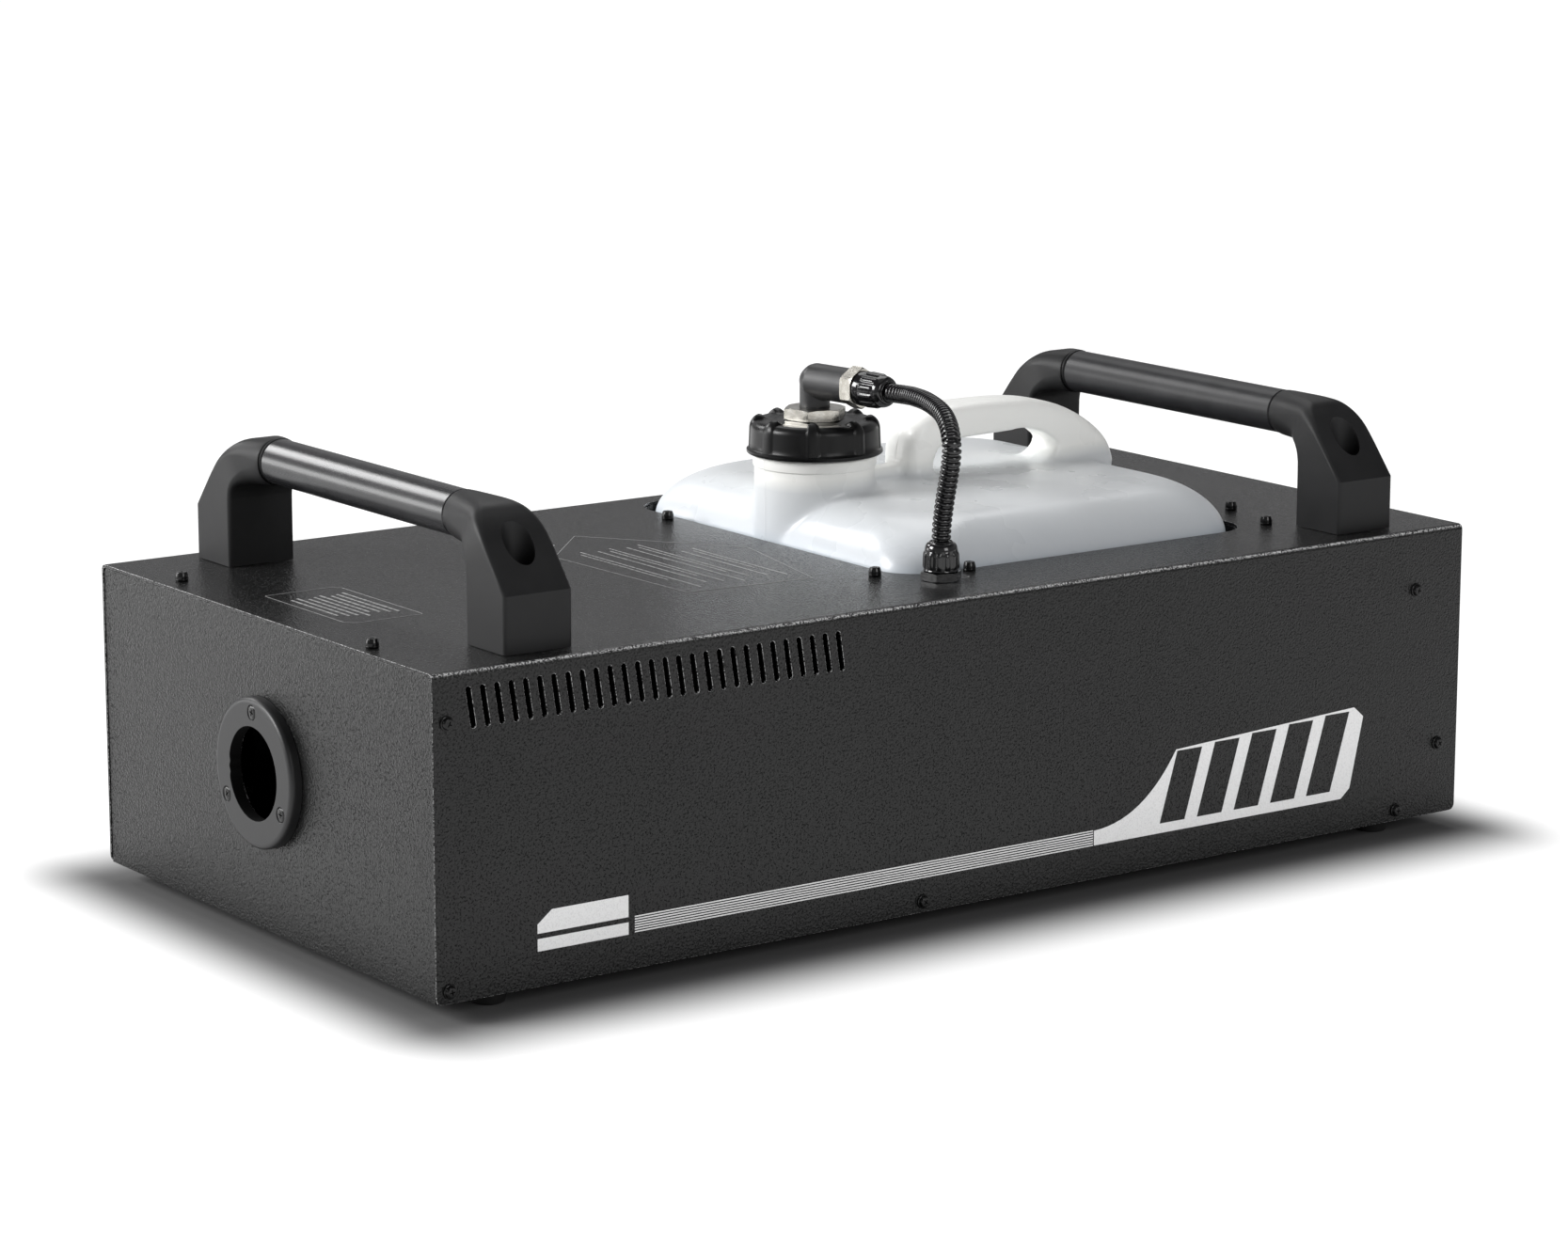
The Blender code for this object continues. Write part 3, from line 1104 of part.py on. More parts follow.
def main():
    """Build every piece."""
    clear_scene()
    make_cover()
    make_base()
    make_front_panel()
    make_rear_panel()
    make_feet()
    make_bay()
    make_outlet()
    make_handle("front_handle", FRONT_HANDLE_Y)
    make_handle("rear_handle", REAR_HANDLE_Y)
    make_heater()
    make_pump()
    make_electrics()
    make_rear_fittings()
    make_tank()
    make_cap()
    make_fitting()
    make_pickup()
    make_gland()
    pipe("hose", hose_points(), HOSE_R, 0.0030, "conduit_black", 2, 12)
    half = CASE_W / 2
    for label, side in (("left", -1), ("right", 1)):
        y, z = SIDE_SCREWS[0]
        screw = pan_screw(f"side_screw_{label}", (side * half, y, z), (side, 0, 0))
        set_origin(screw, (side * half, y, z))
    place_origins()
    lifted = ("tank", "tank_cap", "cap_nut", "elbow", "elbow_collar", "hose_nut", "hose",
              "gland_nut", "pickup_tube", "pickup_filter")
    gather("lift_out_tank", (BAY_X, BAY_Y, TANK_BOTTOM), lifted)
    fixed = [obj.name for obj in bpy.data.objects if obj.type == "MESH" and obj.parent is None]
    gather("machine", (0, 0, 0), fixed)
    shade()


main()
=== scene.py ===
import json
from math import cos, exp, hypot, pi, radians, sin, sqrt, tau

import bmesh
import bpy
from mathutils import Matrix, Vector
from mathutils.bvhtree import BVHTree


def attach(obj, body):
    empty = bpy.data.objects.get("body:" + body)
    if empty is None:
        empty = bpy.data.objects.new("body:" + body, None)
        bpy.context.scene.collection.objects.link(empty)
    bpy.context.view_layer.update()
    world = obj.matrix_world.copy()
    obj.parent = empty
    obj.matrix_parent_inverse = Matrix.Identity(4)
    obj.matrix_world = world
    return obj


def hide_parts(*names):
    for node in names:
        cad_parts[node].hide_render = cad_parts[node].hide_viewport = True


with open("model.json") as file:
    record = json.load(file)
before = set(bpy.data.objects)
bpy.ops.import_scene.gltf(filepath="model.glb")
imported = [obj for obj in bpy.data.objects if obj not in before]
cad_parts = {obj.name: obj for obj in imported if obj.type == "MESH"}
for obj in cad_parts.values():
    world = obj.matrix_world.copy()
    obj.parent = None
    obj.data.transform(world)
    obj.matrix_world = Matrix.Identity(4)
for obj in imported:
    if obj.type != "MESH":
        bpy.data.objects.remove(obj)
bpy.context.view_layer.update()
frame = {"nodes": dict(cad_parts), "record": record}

# ---- dimensions, in metres, in the frame of the CAD part ----
CASE_W, CASE_L = 0.318, 0.635
FOOT_H, FOOT_X, FOOT_Y, DECK = 0.009, 0.138, 0.277, 0.164
SHEET, BEND_R, GAP = 0.0015, 0.003, 0.0003
Z0 = FOOT_H
BAY_X, BAY_Y, BAY_W, BAY_L, BAY_R = -0.02, 0.106, 0.247, 0.23, 0.022
TANK_W, TANK_L, TANK_R = 0.24, 0.223, 0.024
TANK_BOTTOM, TANK_TOP, SHOULDER = 0.0458, DECK + 0.023, 0.03
NECK_X, NECK_Y, NECK_R = -0.0197, 0.025, 0.0315
CAP_BOTTOM, CAP_TOP = Z0 + 0.1978, Z0 + 0.215
CAP_R, CAP_LIP_R, CAP_RIBS = 0.0338, 0.0355, 8
NUT_AF, NUT_H = 0.029, 0.006
ELBOW_Z, ELBOW_YAW = Z0 + 0.235, radians(8.0)
STUB_R, BARREL_R = 0.0079, 0.0092
GLAND_X, GLAND_Y, GLAND_AF = 0.1185, 0.002, 0.0184
HOSE_R = 0.0049
HANDLES = {"front": -0.2515, "rear": 0.26}
SHANK_X, SHANK_D = 0.1288, 0.0372
TUBE_Z, TUBE_R, TUBE_HALF, TUBE_SHIFT = DECK + 0.055, 0.0115, 0.086, -0.005
OUT_X, OUT_Z, RING_R, RING_HOLE_R, RING_T = 0.0025, Z0 + 0.079, 0.037, 0.023, 0.006
FRONT_FACE = -CASE_L / 2 + 0.0005
SIDES, UP = (("left", -1), ("right", 1)), (0, 0, 1)


# ---- materials ----
class Nodes:
    """Small helper round the node tree of a material or of the world."""

    def __init__(self, name, owner=None, shader="Principled BSDF"):
        self.owner = owner or bpy.data.materials.new(name)
        self.owner.use_nodes = True
        self.tree = self.owner.node_tree
        self.shader = self.tree.nodes[shader]

    def feed(self, value, socket):
        """Link another node's output, or set a plain value."""
        if isinstance(value, bpy.types.NodeSocket):
            self.tree.links.new(value, socket)
        else:
            socket.default_value = value

    def set(self, **values):
        """Inputs of the shader itself."""
        for key, value in values.items():
            self.feed(value, self.shader.inputs[key.replace("_", " ")])

    def add(self, kind, **values):
        """New node; each value is one of its settings or one of its inputs."""
        node = self.tree.nodes.new("ShaderNode" + kind)
        for key, value in values.items():
            if hasattr(node, key):
                setattr(node, key, value)
            else:
                self.feed(value, node.inputs[key.replace("_", " ")])
        return node

    def place(self, scale=(1, 1, 1)):
        """Object coordinates, scaled along each axis."""
        coordinates = self.add("TexCoord").outputs["Object"]
        return self.add("Mapping", Vector=coordinates, Scale=scale).outputs["Vector"]

    def noise(self, scale, detail=3.0, roughness=0.5, stretch=(1, 1, 1)):
        return self.add("TexNoise", Vector=self.place(stretch), Scale=scale, Detail=detail,
                        Roughness=roughness).outputs["Fac"]

    def cells(self, scale, **values):
        return self.add("TexVoronoi", **values, Vector=self.place(), Scale=scale).outputs["Distance"]

    def ramp(self, source, stops):
        """Colours at their positions."""
        node = self.add("ValToRGB", Fac=source)
        points = node.color_ramp.elements
        while len(points) < len(stops):
            points.new(0.5)
        for point, (position, colour) in zip(points, stops):
            point.position = position
            point.color = (*colour, 1)
        return node.outputs["Color"]

    def shades(self, source, tone, *stops):
        """Shades of one tone from (position, factor) pairs."""
        return self.ramp(source, [(at, [c * factor for c in tone]) for at, factor in stops])

    def spread(self, source, low, high, start=0.0, end=1.0, **values):
        """Start to end becomes low to high."""
        return self.add("MapRange", **values, Value=source, From_Min=start, From_Max=end, To_Min=low,
                        To_Max=high).outputs["Result"]

    def axis(self, name, source="Object"):
        """One part of a coordinate."""
        return self.add("SeparateXYZ", Vector=self.add("TexCoord").outputs[source]).outputs[name]

    def math(self, operation, first, second=0.0, kind="Math"):
        node = self.add(kind, operation=operation)
        self.feed(first, node.inputs[0])
        self.feed(second, node.inputs[1])
        return node.outputs["Value" if kind == "Math" or operation == "LENGTH" else "Vector"]

    def vector(self, operation, first, second=(0, 0, 0)):
        return self.math(operation, first, second, "VectorMath")

    def bends(self):
        """One on rounded edges, nought on faces square to an axis."""
        size = self.vector("ABSOLUTE", self.add("TexCoord").outputs["Normal"])
        x, y, z = self.add("SeparateXYZ", Vector=size).outputs
        return self.spread(self.math("MAXIMUM", self.math("MAXIMUM", x, y), z), 0.0, 1.0, 0.93, 0.76)

    def mix(self, factor, first, second):
        node = self.add("Mix", data_type="RGBA", Factor=factor)
        self.feed(first, node.inputs[6])
        self.feed(second, node.inputs[7])
        return node.outputs[2]

    def bump(self, *layers):
        """Chain of bumps from (height, strength, distance) layers."""
        normal = None
        for height, strength, distance in layers:
            node = self.add("Bump", Height=height, Strength=strength, Distance=distance)
            if normal is not None:
                self.feed(normal, node.inputs["Normal"])
            normal = node.outputs["Normal"]
        self.set(Normal=normal)


def powder_coat(name):
    """Black orange-peel powder coat; light flecks on the bends stand for small highlights."""
    n = Nodes(name)
    fine = n.noise(1300, 3, 0.6)
    pits = n.spread(n.noise(900, 1, 0.5), 0.0, -1.0, 0.6, 0.72)
    coat = n.ramp(n.noise(9, 3), [(0.3, (0.0082, 0.0082, 0.0082)), (0.75, (0.0118, 0.012, 0.0119))])
    # painted highlights: light flecks of colour on rounded edges
    painted_glints = n.math("MULTIPLY", n.bends(), n.spread(n.noise(1300, 2, 0.6), 0.0, 1.0, 0.44, 0.56))
    grain = n.cells(820, feature="SMOOTH_F1", Smoothness=0.5)
    n.bump((grain, 0.6, 0.0004), (fine, 0.5, 0.00016), (pits, 1.0, 0.0005))
    n.set(Base_Color=n.mix(painted_glints, coat, (0.72, 0.72, 0.72, 1)),
          Roughness=n.spread(fine, 0.16, 0.28, 0.3, 0.7), Specular_IOR_Level=0.3)
    return n.owner


def moulded(name, tone=(0.016, 0.016, 0.017), rough=(0.42, 0.56), grain=1400, depth=0.35, level=0.4):
    """Moulded plastic with a fine texture and faint handling marks."""
    n = Nodes(name)
    cloud = n.noise(38, 4, 0.6)
    n.bump((n.noise(grain, 2, 0.6), depth, 0.00012), (cloud, 0.15, 0.0003))
    n.set(Base_Color=n.shades(cloud, tone, (0.25, 0.8), (0.8, 1.3)),
          Roughness=n.spread(cloud, *rough, 0.3, 0.7), Specular_IOR_Level=level)
    return n.owner


def anodised(name, rough, level):
    """Satin black tube with fine lines drawn along it."""
    n = Nodes(name)
    lines = n.noise(420, 2, 0.5, (0.02, 3, 3))
    colour = n.ramp(n.noise(60, 4, 0.6), [(0.3, (0.01, 0.01, 0.011)), (0.8, (0.022, 0.022, 0.024))])
    n.bump((lines, 0.012, 0.00002), (n.noise(1800, 2), 0.04, 0.00003))
    n.set(Base_Color=colour, Roughness=n.spread(lines, *rough), Specular_IOR_Level=level)
    return n.owner


def nickel(name):
    """Nickel-plated brass with tumbling marks and dull patches."""
    n = Nodes(name)
    patch = n.noise(160, 4, 0.6)
    colour = n.ramp(patch, [(0.25, (0.36, 0.34, 0.3)), (0.55, (0.58, 0.56, 0.51)),
                            (0.85, (0.78, 0.77, 0.73))])
    n.bump((n.noise(1500, 3, 0.7), 0.3, 0.00009), (patch, 0.3, 0.0003))
    n.set(Base_Color=colour, Roughness=n.spread(patch, 0.12, 0.3), Metallic=1.0)
    return n.owner


def bare_metal(name, tone, rough=(0.28, 0.5)):
    """Plated or machined metal with faint stains."""
    n = Nodes(name)
    brush = n.noise(420, 4, 0.6)
    n.bump((brush, 0.25, 0.0001))
    n.set(Base_Color=n.shades(n.noise(30, 4, 0.6), tone, (0.3, 0.75), (0.8, 1)),
          Roughness=n.spread(brush, *rough), Metallic=1.0)
    return n.owner


def glossy(name, tone, rough, level):
    """Glossy black nylon or oxide."""
    n = Nodes(name)
    cloud = n.noise(120, 3, 0.5)
    n.bump((cloud, 0.12, 0.0002))
    n.set(Base_Color=n.shades(cloud, tone, (0.3, 0.7), (0.8, 1.4)), Roughness=n.spread(cloud, *rough),
          Specular_IOR_Level=level)
    return n.owner


def polyethylene(name):
    """Natural blow-moulded polyethylene: milky, cooler and darker low down, partly where the fluid stands
    behind it and partly painted shade down in the bay; lighter towards the top, partly painted light.
    """
    n = Nodes(name)
    wobble = n.noise(26, 3, 0.5)
    level = n.math("ADD", n.axis("Z"), n.spread(n.noise(9, 2, 0.5), -0.006, 0.006))
    shade = n.spread(level, 0.0, 1.0, DECK - 0.012, TANK_TOP + 0.018)
    # colour by height: darker and bluer low down, partly the fluid and partly painted shade in the bay;
    # lighter at the top, partly painted light
    colour = n.ramp(shade, [(0.0, (0.55, 0.63, 0.71)), (0.3, (0.66, 0.69, 0.72)),
                            (0.7, (0.69, 0.71, 0.72)), (0.84, (0.96, 0.96, 0.92))])
    across = n.math("ABSOLUTE", n.math("SUBTRACT", n.axis("X"), BAY_X))
    n.bump((wobble, 0.25, 0.0016), (n.spread(across, 1.0, 0.0, 0.0002, 0.0009), 0.5, 0.0004))
    n.set(Base_Color=colour, Roughness=n.spread(wobble, 0.22, 0.38, 0.3, 0.7), Specular_IOR_Level=0.45,
          Subsurface_Weight=0.25, Subsurface_Scale=0.01, Subsurface_Radius=(1.0, 1.0, 1.0))
    return n.owner


def print_ink(name, level):
    """Screen-printed ink with slight pinholes."""
    n = Nodes(name)
    speck = n.noise(1500, 3, 0.7)
    n.bump((n.noise(900, 3, 0.6), 0.3, 0.0002))
    n.set(Base_Color=n.shades(speck, (level, level, level), (0.28, 0.75), (0.5, 1)),
          Roughness=n.spread(speck, 0.4, 0.55))
    return n.owner


def board(name):
    """Green solder mask with faint tracks."""
    n = Nodes(name)
    tracks = n.cells(220)
    n.bump((tracks, 0.2, 0.0002))
    n.set(Base_Color=n.ramp(tracks, [(0.3, (0.02, 0.14, 0.05)), (0.6, (0.03, 0.22, 0.08))]),
          Roughness=n.spread(tracks, 0.3, 0.45))
    return n.owner


MATS = {
    "case_black": powder_coat("powder_coat"),
    "steel_bare": bare_metal("zinc_steel", (0.55, 0.55, 0.57)),
    "nylon_black": moulded("nylon_moulded", (0.013, 0.013, 0.0135), (0.42, 0.54), 1500, 0.35, 0.22),
    "tube_black": anodised("anodised_tube", (0.24, 0.29), 0.55),
    "screw_black": glossy("black_oxide", (0.004, 0.004, 0.004), (0.1, 0.18), 0.32),
    "rubber_black": moulded("rubber", (0.01, 0.01, 0.01), (0.6, 0.8)),
    "can_natural": polyethylene("polyethylene"),
    "cap_black": moulded("cap_plastic", (0.003, 0.003, 0.0032), (0.26, 0.38), 900, 0.08, 0.28),
    "nickel": nickel("nickel_plate"),
    "conduit_black": glossy("conduit_nylon", (0.005, 0.005, 0.0055), (0.1, 0.17), 0.6),
    "heater_alloy": bare_metal("heater_cast", (0.35, 0.34, 0.33), (0.4, 0.6)),
    "brass": bare_metal("brass_turned", (0.5, 0.36, 0.15), (0.25, 0.4)),
    "line_natural": moulded("clear_line", (0.7, 0.7, 0.68), (0.3, 0.4)),
    "board_green": board("circuit_board"),
    "fitting_black": moulded("fitting_plastic", (0.01, 0.01, 0.01), (0.32, 0.45)),
}
RING_PLASTIC = moulded("ring_plastic", (0.013, 0.013, 0.0135), (0.34, 0.46), 1600, 0.3, 0.4)
ELBOW_PLASTIC = moulded("elbow_plastic", (0.016, 0.016, 0.017), (0.36, 0.5), 1100, 0.45, 0.5)
INK = print_ink("side_ink", 0.86)
THIN_INK = print_ink("deck_ink", 0.4)
DULL_TUBE = anodised("anodised_tube_rear", (0.34, 0.4), 0.3)     # only to follow the photo's shading
# very dark matte material standing for painted shade deep in the outlet and on the parts seen through it
OUTLET_PAINTED_SHADE = moulded("outlet_painted_shade", (0.003, 0.003, 0.003), (0.7, 0.85), level=0.12)


# ---- mesh helpers ----
def finish(bm, name, slot=None, body=None, sharp=35.0, material=None):
    """Object from a bmesh, smooth except at edges above the sharp angle."""
    bmesh.ops.remove_doubles(bm, verts=bm.verts, dist=1e-6)
    bmesh.ops.recalc_face_normals(bm, faces=bm.faces)
    mesh = bpy.data.meshes.new(name)
    bm.to_mesh(mesh)
    bm.free()
    obj = bpy.data.objects.new(name, mesh)
    bpy.context.scene.collection.objects.link(obj)
    return dress(obj, slot, body, sharp, material)


def dress(obj, slot=None, body=None, sharp=35.0, material=None):
    """Shading, material and body of a piece; the material is the slot's unless one is given."""
    bm = bmesh.new()
    bm.from_mesh(obj.data)
    limit = radians(sharp)
    for face in bm.faces:
        face.smooth = True
    for edge in bm.edges:
        edge.smooth = not (len(edge.link_faces) == 2 and edge.calc_face_angle(0) > limit)
    bm.to_mesh(obj.data)
    bm.free()
    material = material or MATS.get(slot)
    if material is not None:
        obj.data.materials.clear()
        obj.data.materials.append(material)
    if body is not None:
        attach(obj, body)
    return obj


def modify(obj, kind, **values):
    """Add a modifier with its settings."""
    modifier = obj.modifiers.new(kind.lower(), kind)
    for key, value in values.items():
        setattr(modifier, key, value)
    return obj


def even_normals(obj):
    """Let large flat faces set the shading of the narrow ones beside them."""
    return modify(obj, "WEIGHTED_NORMAL", keep_sharp=True, weight=90)


def apply_all(obj):
    """Make modifiers part of the mesh."""
    bpy.context.view_layer.update()
    graph = bpy.context.evaluated_depsgraph_get()
    mesh = bpy.data.meshes.new_from_object(obj.evaluated_get(graph))
    obj.modifiers.clear()
    old = obj.data
    obj.data = mesh
    mesh.name = obj.name
    bpy.data.meshes.remove(old)
    return obj


def soften_edges(obj, width, angle):
    """Round the edges sharper than the angle, with a modifier that stays live."""
    return modify(obj, "BEVEL", width=width, segments=2, limit_method="ANGLE", angle_limit=radians(angle))


def combine(obj, tool, operation="DIFFERENCE"):
    """Boolean with another piece or bmesh, which is then dropped."""
    if isinstance(tool, bmesh.types.BMesh):
        tool = finish(tool, "tool")
    tool.hide_render = True
    apply_all(modify(obj, "BOOLEAN", operation=operation, solver="EXACT", object=tool))
    bpy.data.objects.remove(tool)
    return obj


def remesh(obj, voxel, smooth):
    """Fuse everything into one skin with soft inner corners."""
    modify(obj, "REMESH", mode="VOXEL", voxel_size=voxel)
    return apply_all(modify(obj, "SMOOTH", factor=0.5, iterations=smooth))


def shaped(shape, *values, **named):
    """Fresh bmesh holding one shape."""
    bm = bmesh.new()
    shape(bm, *values, **named)
    return bm


def loft(bm, loops, closed=False):
    """Skin equal loops; the ends are capped unless the loft closes on itself."""
    rows = [[bm.verts.new(p) for p in loop] for loop in loops]
    count = len(rows[0])
    pairs = list(zip(rows, rows[1:]))
    if closed:
        pairs.append((rows[-1], rows[0]))
    for low, high in pairs:
        for i in range(count):
            j = (i + 1) % count
            bm.faces.new((low[i], low[j], high[j], high[i]))
    if not closed:
        bm.faces.new(list(reversed(rows[0])))
        bm.faces.new(rows[-1])


def box(bm, x0, x1, y0, y1, z0, z1):
    """Block between two corners."""
    loft(bm, [[(x0, y0, z), (x1, y0, z), (x1, y1, z), (x0, y1, z)] for z in (z0, z1)])


def rounded(half_u, half_v, corner, steps):
    """Outline of a rounded rectangle round nought."""
    points = []
    for sign_u, sign_v, quarter in ((1, 1, 0), (-1, 1, 1), (-1, -1, 2), (1, -1, 3)):
        for step in range(steps + 1):
            angle = pi / 2 * (quarter + step / steps)
            points.append((sign_u * (half_u - corner) + corner * cos(angle),
                           sign_v * (half_v - corner) + corner * sin(angle)))
    return points


def rounded_rect(cx, cy, width, length, radius, z):
    """Rounded rectangle at height z."""
    return [(cx + u, cy + v, z) for u, v in rounded(width / 2, length / 2, radius, 10)]


def frame_of(direction):
    """Two directions at right angles to this one."""
    along = Vector(direction).normalized()
    helper = Vector(UP) if abs(along.z) < 0.9 else Vector((1, 0, 0))
    side = along.cross(helper).normalized()
    return side, side.cross(along).normalized()


def circle(centre, direction, radius, segments, turn=0.0, shape=None):
    """Loop round an axis; shape(angle) adds to the radius."""
    side, up = frame_of(direction)
    loop = []
    for i in range(segments):
        angle = tau * i / segments + turn
        reach = radius + (shape(angle) if shape else 0.0)
        loop.append(Vector(centre) + reach * (cos(angle) * side + sin(angle) * up))
    return loop


def turned(bm, origin, direction, profile, segments=96, closed=False, turn=0.0):
    """Solid of revolution from (distance along the axis, radius) pairs."""
    axis = Vector(direction).normalized()
    loft(bm, [circle(Vector(origin) + axis * along, axis, radius, segments, turn)
              for along, radius in profile], closed)


def rod(bm, start, end, radius, segments=64, turn=0.0):
    """Plain cylinder between two points."""
    turned(bm, start, Vector(end) - Vector(start),
           [(0, radius), ((Vector(end) - Vector(start)).length, radius)], segments, turn=turn)


def fillet(profile, radius, steps=5):
    """Round every inner point of an open (along, radius) profile."""
    pts = [Vector(p) for p in profile]
    made = [tuple(pts[0])]
    for before, here, after in zip(pts, pts[1:], pts[2:]):
        into, out = (before - here), (after - here)
        reach = min(radius, into.length * 0.48, out.length * 0.48)
        a, b = here + into.normalized() * reach, here + out.normalized() * reach
        for step in range(steps + 1):
            t = step / steps
            made.append(tuple((1 - t) ** 2 * a + 2 * t * (1 - t) * here + t * t * b))
    return made + [tuple(pts[-1])]


def smooth_rows(rows, per_span):
    """Catmull-Rom curve through rows of numbers."""
    first = [2 * a - b for a, b in zip(rows[0], rows[1])]
    last = [2 * a - b for a, b in zip(rows[-1], rows[-2])]
    rows = [first, *rows, last]
    made = []
    for p, q, r, s in zip(rows, rows[1:], rows[2:], rows[3:]):
        for i in range(per_span):
            t = i / per_span
            made.append([0.5 * (2 * b + (c - a) * t + (2 * a - 5 * b + 4 * c - d) * t * t
                                + (3 * b - a - 3 * c + d) * t ** 3) for a, b, c, d in zip(p, q, r, s)])
    return made + [list(rows[-2])]


def even_path(path, step):
    """The same path with its points a fixed step apart."""
    made, carry = [path[0]], 0.0
    for a, b in zip(path, path[1:]):
        span = (b - a).length
        at = step - carry
        while at <= span:
            made.append(a + (b - a) * (at / span))
            at += step
        carry = span - (at - step)
    return made


def pipe_loops(path, radii, segments):
    """Loops carried along a path without twist."""
    loops, side = [], None
    for i, (point, radius) in enumerate(zip(path, radii)):
        along = (path[min(i + 1, len(path) - 1)] - path[max(i - 1, 0)]).normalized()
        if side is None:
            side = frame_of(along)[0]
        side = (side - along * side.dot(along)).normalized()
        up = side.cross(along)
        angles = [tau * k / segments for k in range(segments)]
        loops.append([point + radius * (cos(angle) * side + sin(angle) * up) for angle in angles])
    return loops


def arc(cx, cz, radius, start, end, steps):
    """Points of an arc, angles in degrees."""
    angles = [radians(start + (end - start) * i / steps) for i in range(steps + 1)]
    return [(cx + radius * cos(angle), cz + radius * sin(angle)) for angle in angles]


def ridge(angle, count, share, shift=0.0):
    """Height, nought to one, of round ridges that fill a share of their pitch on each side."""
    across = ((angle * count / tau + shift) % 1.0 - 0.5) / share
    return sqrt(max(0.0, 1 - across * across))


# ---- case ----
SLOT_COUNT, SLOT_PITCH, SLOT_FIRST_Y = 28, 0.00768, -0.2969
SLOT_Z, SLOT_LEN, SLOT_W, SLOT_LEAN = Z0 + 0.1374, 0.02, 0.0028, radians(8.7)


def vent_tools(bm, side):
    """Leaning round-ended slots through one side."""
    half_line = (SLOT_LEN - SLOT_W) / 2
    outline = []
    for end, start in ((1, 0.0), (-1, pi)):
        for step in range(9):
            angle = start + pi * step / 8
            across, along = SLOT_W / 2 * cos(angle), end * half_line + SLOT_W / 2 * sin(angle)
            outline.append((across * cos(SLOT_LEAN) - along * sin(SLOT_LEAN),
                            along * cos(SLOT_LEAN) + across * sin(SLOT_LEAN)))
    for index in range(SLOT_COUNT):
        centre_y = SLOT_FIRST_Y + index * SLOT_PITCH
        loft(bm, [[(side * (CASE_W / 2 + depth), centre_y + y, SLOT_Z + z) for y, z in outline]
                  for depth in (-0.006, 0.006)])


def make_cover():
    """Bent cover sheet with its vents and the can opening."""
    half, inner = CASE_W / 2, BEND_R - SHEET
    cz = DECK - BEND_R
    outline = [(half, Z0)] + arc(half - BEND_R, cz, BEND_R, 0, 90, 9)
    outline += arc(-half + BEND_R, cz, BEND_R, 90, 180, 9) + [(-half, Z0), (-half + SHEET, Z0)]
    outline += arc(-half + BEND_R, cz, inner, 180, 90, 6) + arc(half - BEND_R, cz, inner, 90, 0, 6)
    outline += [(half - SHEET, Z0)]
    bm = shaped(loft, [[(x, y, z) for x, z in outline] for y in (-CASE_L / 2, CASE_L / 2)])
    corners = [e for e in bm.edges if all(abs(v.co.z - Z0) < 1e-6 for v in e.verts)
               and abs(e.verts[0].co.x - e.verts[1].co.x) > 1e-4
               and abs(e.verts[0].co.y - e.verts[1].co.y) < 1e-6]
    bmesh.ops.bevel(bm, geom=corners, offset=0.0035, segments=5, affect="EDGES", profile=0.5)
    cover = finish(bm, "cover_sheet")
    below, above = DECK - 0.01, DECK + 0.01
    tool = shaped(loft, [rounded_rect(BAY_X, BAY_Y, BAY_W, BAY_L, BAY_R, z) for z in (below, above)])
    rod(tool, (GLAND_X, GLAND_Y, below), (GLAND_X, GLAND_Y, above), 0.0064, 40)
    for side in (-1, 1):
        vent_tools(tool, side)
    combine(cover, tool)
    apply_all(soften_edges(cover, 0.00035, 50))
    even_normals(dress(cover, "case_black", "chassis", 48))
    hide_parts("cover")


def flat_decal(name, polygons, at, material, low=0.00001, high=0.00007):
    """Thin printed shapes; at maps flat (u, v) points to the surface, w is off it."""
    bm = bmesh.new()
    for points in polygons:
        loft(bm, [[at(u, v, w) for u, v in points] for w in (low, high)])
    finish(bm, name, None, "chassis", 20, material)


def bar(x0, y0, x1, y1, width):
    """Straight stroke as a polygon."""
    along = Vector((x1 - x0, y1 - y0)).normalized() * width / 2
    across = Vector((-along.y, along.x))
    return [(x0 + across.x, y0 + across.y), (x0 - across.x, y0 - across.y),
            (x1 - across.x, y1 - across.y), (x1 + across.x, y1 + across.y)]


def bezier(start, middle, end, steps):
    """Points of a quadratic curve."""
    return [tuple((1 - t) ** 2 * a + 2 * t * (1 - t) * b + t * t * c for a, b, c in zip(start, middle, end))
            for t in (step / steps for step in range(steps + 1))]


def make_side_graphics():
    """Plain geometric print: a block, a pinstripe band with a sweep and five leaning blocks."""
    left, right, sweep_y = -0.2625, -0.212, 0.069
    white = [[(left, 0.0255), (right, 0.0255), (right, 0.0362), (left + 0.008, 0.0362), (left, 0.03)],
             [(left, 0.017), (right, 0.017), (right, 0.023), (left, 0.023)]]
    for row in range(7):
        z = 0.0252 - 0.0074 * row / 6
        white.append(bar(right + 0.0035, z, sweep_y - 0.0006, z, 0.00062))
    sweep = bezier((sweep_y, 0.0252), (0.101, 0.0262), (0.1222, 0.0598), 14)
    white.append([(sweep_y, 0.0175), *sweep, (0.2435, 0.0656), (0.25, 0.06), (0.2415, 0.0225),
                  (0.2355, 0.0175)])
    dark, foot, width, lean = [], 0.0225, 0.0165, 0.3
    for index in range(5):
        start, top = 0.112 + 0.0248 * index, 0.059 + 0.0012 * index
        rise = (top - foot) * lean
        dark.append([(start, foot), (start + width, foot), (start + width + rise, top), (start + rise, top)])
    layers = (("side_print", white, INK, 0.00001, 0.00007),
              ("side_print_dark", dark, MATS["case_black"], 0.00008, 0.00013))
    for label, shapes, material, low, high in layers:
        for word, side in (("", 1), ("_left", -1)):          # the left print is turned end for end
            flat_decal(label + word, shapes, lambda y, z, off: (side * (CASE_W / 2 + off), side * y, Z0 + z),
                       material, low, high)


